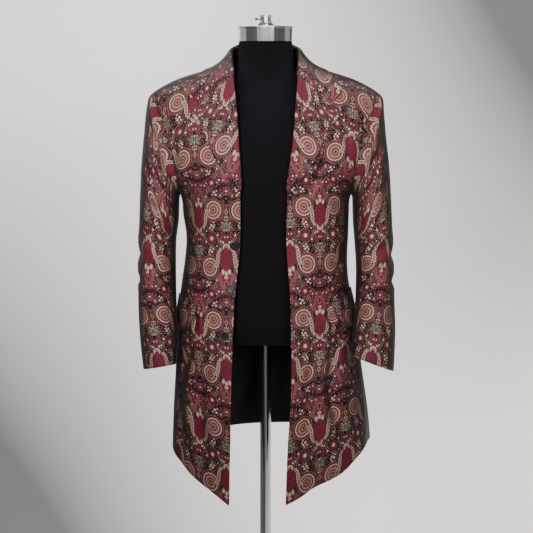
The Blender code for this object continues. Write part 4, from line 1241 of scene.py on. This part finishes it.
# --------------------------------------------------
# Pocket flaps: each is sewn along its top edge only, and its free front corner stands away.
FLAP_FREE = 1.7  # how much further the pressed cloth stands away than its plain solid
FLAP_GAP, FLAP_SLOPE = 0.0010, 0.0016  # above the front at the seam, and more at the foot
FLAP_CUT = (0.130, -0.012)  # where the figure falls on a flap
for side in (LEFT, RIGHT):
    shape = FLAPS[side]
    down = np.linspace(0, 1, 31)[:, None]
    over = np.linspace(0, 1, 61)[None, :]
    start = shape.front_top + (shape.front_foot - shape.front_top) * down
    angle = start + (shape.back - start) * over
    z = shape.front_z + (shape.back_z - shape.front_z) * over - shape.drop * down
    points, normals = shell(angle, z, side), shell_normals(angle, z, side)
    lift = FLAP_GAP + FLAP_SLOPE * down + shape.lift * FLAP_FREE * down**1.5 * (1 - over) ** 2
    points = points + normals * (lift[..., None] + CLOTH)
    u, v = laid_out(points, 0)
    u, v = u + FLAP_CUT[0], v + FLAP_CUT[1]
    brocade_piece(SIDE_NAMES[side] + "_pocket_flap", points, normals, u, v)

# --------------------------------------------------
# Buttons: three dark turned buttons with a raised rim, on thread shanks.


def capped(name, rings, foot, head, made_of, sharp):
    """A closed solid of rings of points between two end points, hard where it bends by more degrees
    than sharp."""
    steps = len(rings[0])
    verts = [foot, *(point for ring in rings for point in ring), head]
    faces = [(0, 1 + (i + 1) % steps, 1 + i) for i in range(steps)]
    for row in range(len(rings) - 1):
        a, b = 1 + row * steps, 1 + (row + 1) * steps
        faces += [(a + i, a + (i + 1) % steps, b + (i + 1) % steps, b + i) for i in range(steps)]
    a = 1 + (len(rings) - 1) * steps
    faces += [(len(verts) - 1, a + i, a + (i + 1) % steps) for i in range(steps)]
    made = linked(name, verts, faces, made_of)
    made.data.set_sharp_from_angle(angle=np.radians(sharp))
    return made


def turned(name, profile, spot, axes, made_of, steps):
    """A solid of revolution, on a place's own axes, of (radius, height) pairs from axis to axis."""
    turn = 2 * np.pi * np.arange(steps) / steps
    circle = np.cos(turn)[:, None] * axes[0] + np.sin(turn)[:, None] * axes[1]
    foot, *rings, head = (spot + radius * circle + height * axes[2] for radius, height in profile)
    return capped(name, rings, foot[0], head[0], made_of, 38)


def place_on(x, z, side):
    """A point of a front, with its axes across it, up it and outwards."""
    z = np.array([z])
    angle = angle_at(x, z, side)
    normal = shell_normals(angle, z, side)[0]
    side_way = unit(np.cross([0.0, 0.0, 1.0], normal))
    return shell(angle, z, side)[0], (side_way, np.cross(normal, side_way), normal)


rim, thick = BUTTON_RADIUS, BUTTON_THICK
button_profile = [(0, 0)] + [(rim * out, thick * up) for out, up in (
    (0.80, 0), (0.93, 0.14), (1, 0.42), (0.99, 0.72), (0.94, 0.95), (0.88, 1), (0.76, 0.97),
    (0.70, 0.80), (0.66, 0.66), (0.30, 0.60), (0, 0.60),
)]
shank_profile = (
    (0, -0.0004), (0.0019, -0.0004), (0.0015, BUTTON_LIFT * 0.5), (0.0019, BUTTON_LIFT + 0.0003),
    (0, BUTTON_LIFT + 0.0003),
)
for number, (x, z) in enumerate(BUTTONS, start=1):
    spot, axes = place_on(x, z, RIGHT)
    raised = spot + axes[2] * BUTTON_LIFT
    disc = turned(f"horn_front_button_{number}", button_profile, raised, axes, HORN, 64)
    ours(disc, "button_horn", f"front_button_{number}")
    ours(turned(f"thread_shank_{number}", shank_profile, spot, axes, THREAD, 24), "brocade")

# --------------------------------------------------
# Buttonholes: three worked slits on the left front, each bound all round with close stitches.
STITCHES = 56  # round each buttonhole
HOLE_RAISED = 0.0004  # middle of the thread above the cloth
steps, ring = 240, 8
turn = 2 * np.pi * np.arange(steps) / steps
lap = 2 * np.pi * np.arange(ring) / ring
long_way = HOLE_LENGTH / 2 * np.sign(np.cos(turn)) * np.abs(np.cos(turn)) ** 0.6
short_way = HOLE_WIDTH / 2 * np.sin(turn)
stitch = THREAD_RADIUS * (1.0 + 0.22 * np.sin(turn * STITCHES))
for number, (x, z) in enumerate(HOLES, start=1):
    spot, (side_way, up_way, normal) = place_on(x, z, LEFT)
    line = long_way[:, None] * side_way + short_way[:, None] * up_way
    out_way = unit(long_way[:, None] * 0.02 * side_way + np.sin(turn)[:, None] * up_way)
    tube = line[:, None] + stitch[:, None, None] * (
        np.cos(lap)[None, :, None] * out_way[:, None] * 1.7 + np.sin(lap)[None, :, None] * normal
    )
    verts = (spot + normal * HOLE_RAISED + tube).reshape(-1, 3)
    faces = [
        (a * ring + b, ((a + 1) % steps) * ring + b, ((a + 1) % steps) * ring + (b + 1) % ring,
         a * ring + (b + 1) % ring)
        for a in range(steps) for b in range(ring)
    ]
    ours(linked(f"thread_buttonhole_{number}", verts.tolist(), faces, THREAD), "brocade")

# --------------------------------------------------
# Dress form: a limbless torso covered in black jersey, with a chrome neck cap, clamp ring, pole end
# and thumb screw, on a chrome pole and a round base.
levels = FORMS["z"]
heights = np.concatenate([
    np.linspace(a, b, 9)[:-1] for a, b in zip(levels[:-1], levels[1:])
] + [levels[-1:]])
turn = 2 * np.pi * np.arange(FORM_ROUND) / FORM_ROUND
sine, cosine = np.sin(turn), np.cos(turn)
rings = []
for z in heights:
    half, ahead_deep, back_deep, power = (
        float(smooth(FORMS, "z", column, z)) for column in ("half", "front", "back", "power")
    )
    across = half * np.sign(sine) * np.abs(sine) ** (2 / power)
    deep = np.where(cosine > 0, ahead_deep, back_deep)
    along = -deep * np.sign(cosine) * np.abs(cosine) ** (2 / power)
    rings.append([(x, y, z) for x, y in zip(across, along)])
torso = capped("jersey_torso", rings, (0, 0, heights[0]), (0, 0, heights[-1]), JERSEY, 50)
ours(torso, "form_jersey", "form_torso")

for node in ("neck_cap", "clamp_ring", "pole_end", "thumb_screw", "pole", "base"):
    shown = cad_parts["form_" + node]
    shown.data.materials.clear()
    shown.data.materials.append(CHROME)

# --------------------------------------------------
# Studio: a pale sweep behind and below with painted light and shade in its colour, two narrow soft
# lights in front, a rim light at each side and two lights on the backdrop.
SWEEP_NEAR, SWEEP_BEND, SWEEP_HALF, SWEEP_TOP = -2.6, 1.2, 4.0, 4.5
CAMERA_AT = (0.0022, -3.5, 1.45)
CAMERA_DOWN = 7.7  # degrees
LENS, SENSOR = 107.46, 36.0
# painted light and shade: the sweep runs from PALE, palest in the middle of the view, to SHADED
# towards two corners and both sides
PALE, SHADED = (0.94, 0.92, 0.885), (0.122, 0.121, 0.126)
MIDDLE_TONE, MIDDLE_DROP = 0.76, 0.135  # how pale the middle of the view is, and how low it lies
CORNER_FALL, SIDE_FALL = 27.0, 8.0  # two corners and both sides darken from there
profile = [(SWEEP_NEAR, 0.0), (SWEEP_BEND, 0.0)]
profile += [
    (SWEEP_BEND + SWEEP_BEND * np.sin(t), SWEEP_BEND - SWEEP_BEND * np.cos(t))
    for t in np.linspace(0, np.pi / 2, 24)[1:]
]
profile.append((2 * SWEEP_BEND, SWEEP_TOP))
verts = [(x, y, z) for y, z in profile for x in (-SWEEP_HALF, SWEEP_HALF)]
faces = [(2 * i, 2 * i + 1, 2 * i + 3, 2 * i + 2) for i in range(len(profile) - 1)]
paper, tree, shader = material("Sweep", {"Roughness": 0.95})
source = tree.nodes.new("ShaderNodeTexCoord")
place = Sum(tree, source.outputs["Object"])
x, y, z = place.node("ShaderNodeSeparateXYZ", {}, place)
across, climb = (way / (y - CAMERA_AT[1]) for way in (x, z - CAMERA_AT[2]))
# painted light and shade laid into the sweep's colour: pale in the middle, darker towards two
# corners and both sides
corners = across * (climb + MIDDLE_DROP) * CORNER_FALL
painted_light = (MIDDLE_TONE - corners - across * across * SIDE_FALL).clipped()
tone = colour(x, SHADED).laid((colour(x, PALE), painted_light))
tree.links.new(tone.socket, shader.inputs["Base Color"])
# Seen from behind, the paper is clear.
clear, one_sided, geometry = (
    tree.nodes.new("ShaderNode" + kind) for kind in ("BsdfTransparent", "MixShader", "NewGeometry")
)
sockets = (geometry.outputs["Backfacing"], shader.outputs[0], clear.outputs[0])
for place, socket in zip(one_sided.inputs, sockets):
    tree.links.new(socket, place)
tree.links.new(one_sided.outputs[0], tree.nodes["Material Output"].inputs["Surface"])
linked("sweep", verts, faces, paper)

# Each light has a place, a point it faces, a width and height, a power and a spread in degrees.
for name, at, aim, size, power, spread in (
    ("key", (-1.0, -3.3, 2.1), (0, 0, 1.28), (0.8, 0.8), 7.2, 34),
    ("fill", (1.1, -3.3, 1.9), (0, 0, 1.28), (0.9, 0.9), 3.4, 34),
    ("rim left", (-2.2, 0.7, 1.7), (0, 0, 1.15), (0.6, 1.4), 5, 180),
    ("rim right", (2.2, 0.7, 1.7), (0, 0, 1.15), (0.6, 1.4), 4, 180),
    ("backdrop left", (-1.6, 0.3, 3.4), (-0.4, 2.4, 0.7), (1.6, 0.6), 106, 180),
    ("backdrop right", (1.6, 0.3, 3.4), (0.4, 2.4, 0.7), (1.6, 0.6), 106, 180),
):
    data = bpy.data.lights.new(name, "AREA")
    data.shape = "RECTANGLE"
    data.size, data.size_y = size
    data.energy = power
    data.spread = np.radians(spread)
    light = bpy.data.objects.new(name, data)
    light.location = at
    dx, dy, dz = np.array(aim, float) - at
    light.rotation_euler = np.arctan2(np.hypot(dx, dy), -dz), 0.0, np.arctan2(dx, -dy) + np.pi
    bpy.context.scene.collection.objects.link(light)

world = bpy.data.worlds.new("Studio")
world.use_nodes = True
sky = world.node_tree.nodes["Background"].inputs
sky["Color"].default_value = (0.86, 0.87, 0.88, 1.0)
sky["Strength"].default_value = 0.16
bpy.context.scene.world = world

camera_data = bpy.data.cameras.new("Camera")
camera_data.sensor_width = SENSOR
camera_data.lens = LENS
camera = bpy.data.objects.new("Camera", camera_data)
camera.location = CAMERA_AT
camera.rotation_euler = (np.radians(90 - CAMERA_DOWN), 0.0, 0.0)
bpy.context.scene.collection.objects.link(camera)
bpy.context.scene.camera = camera
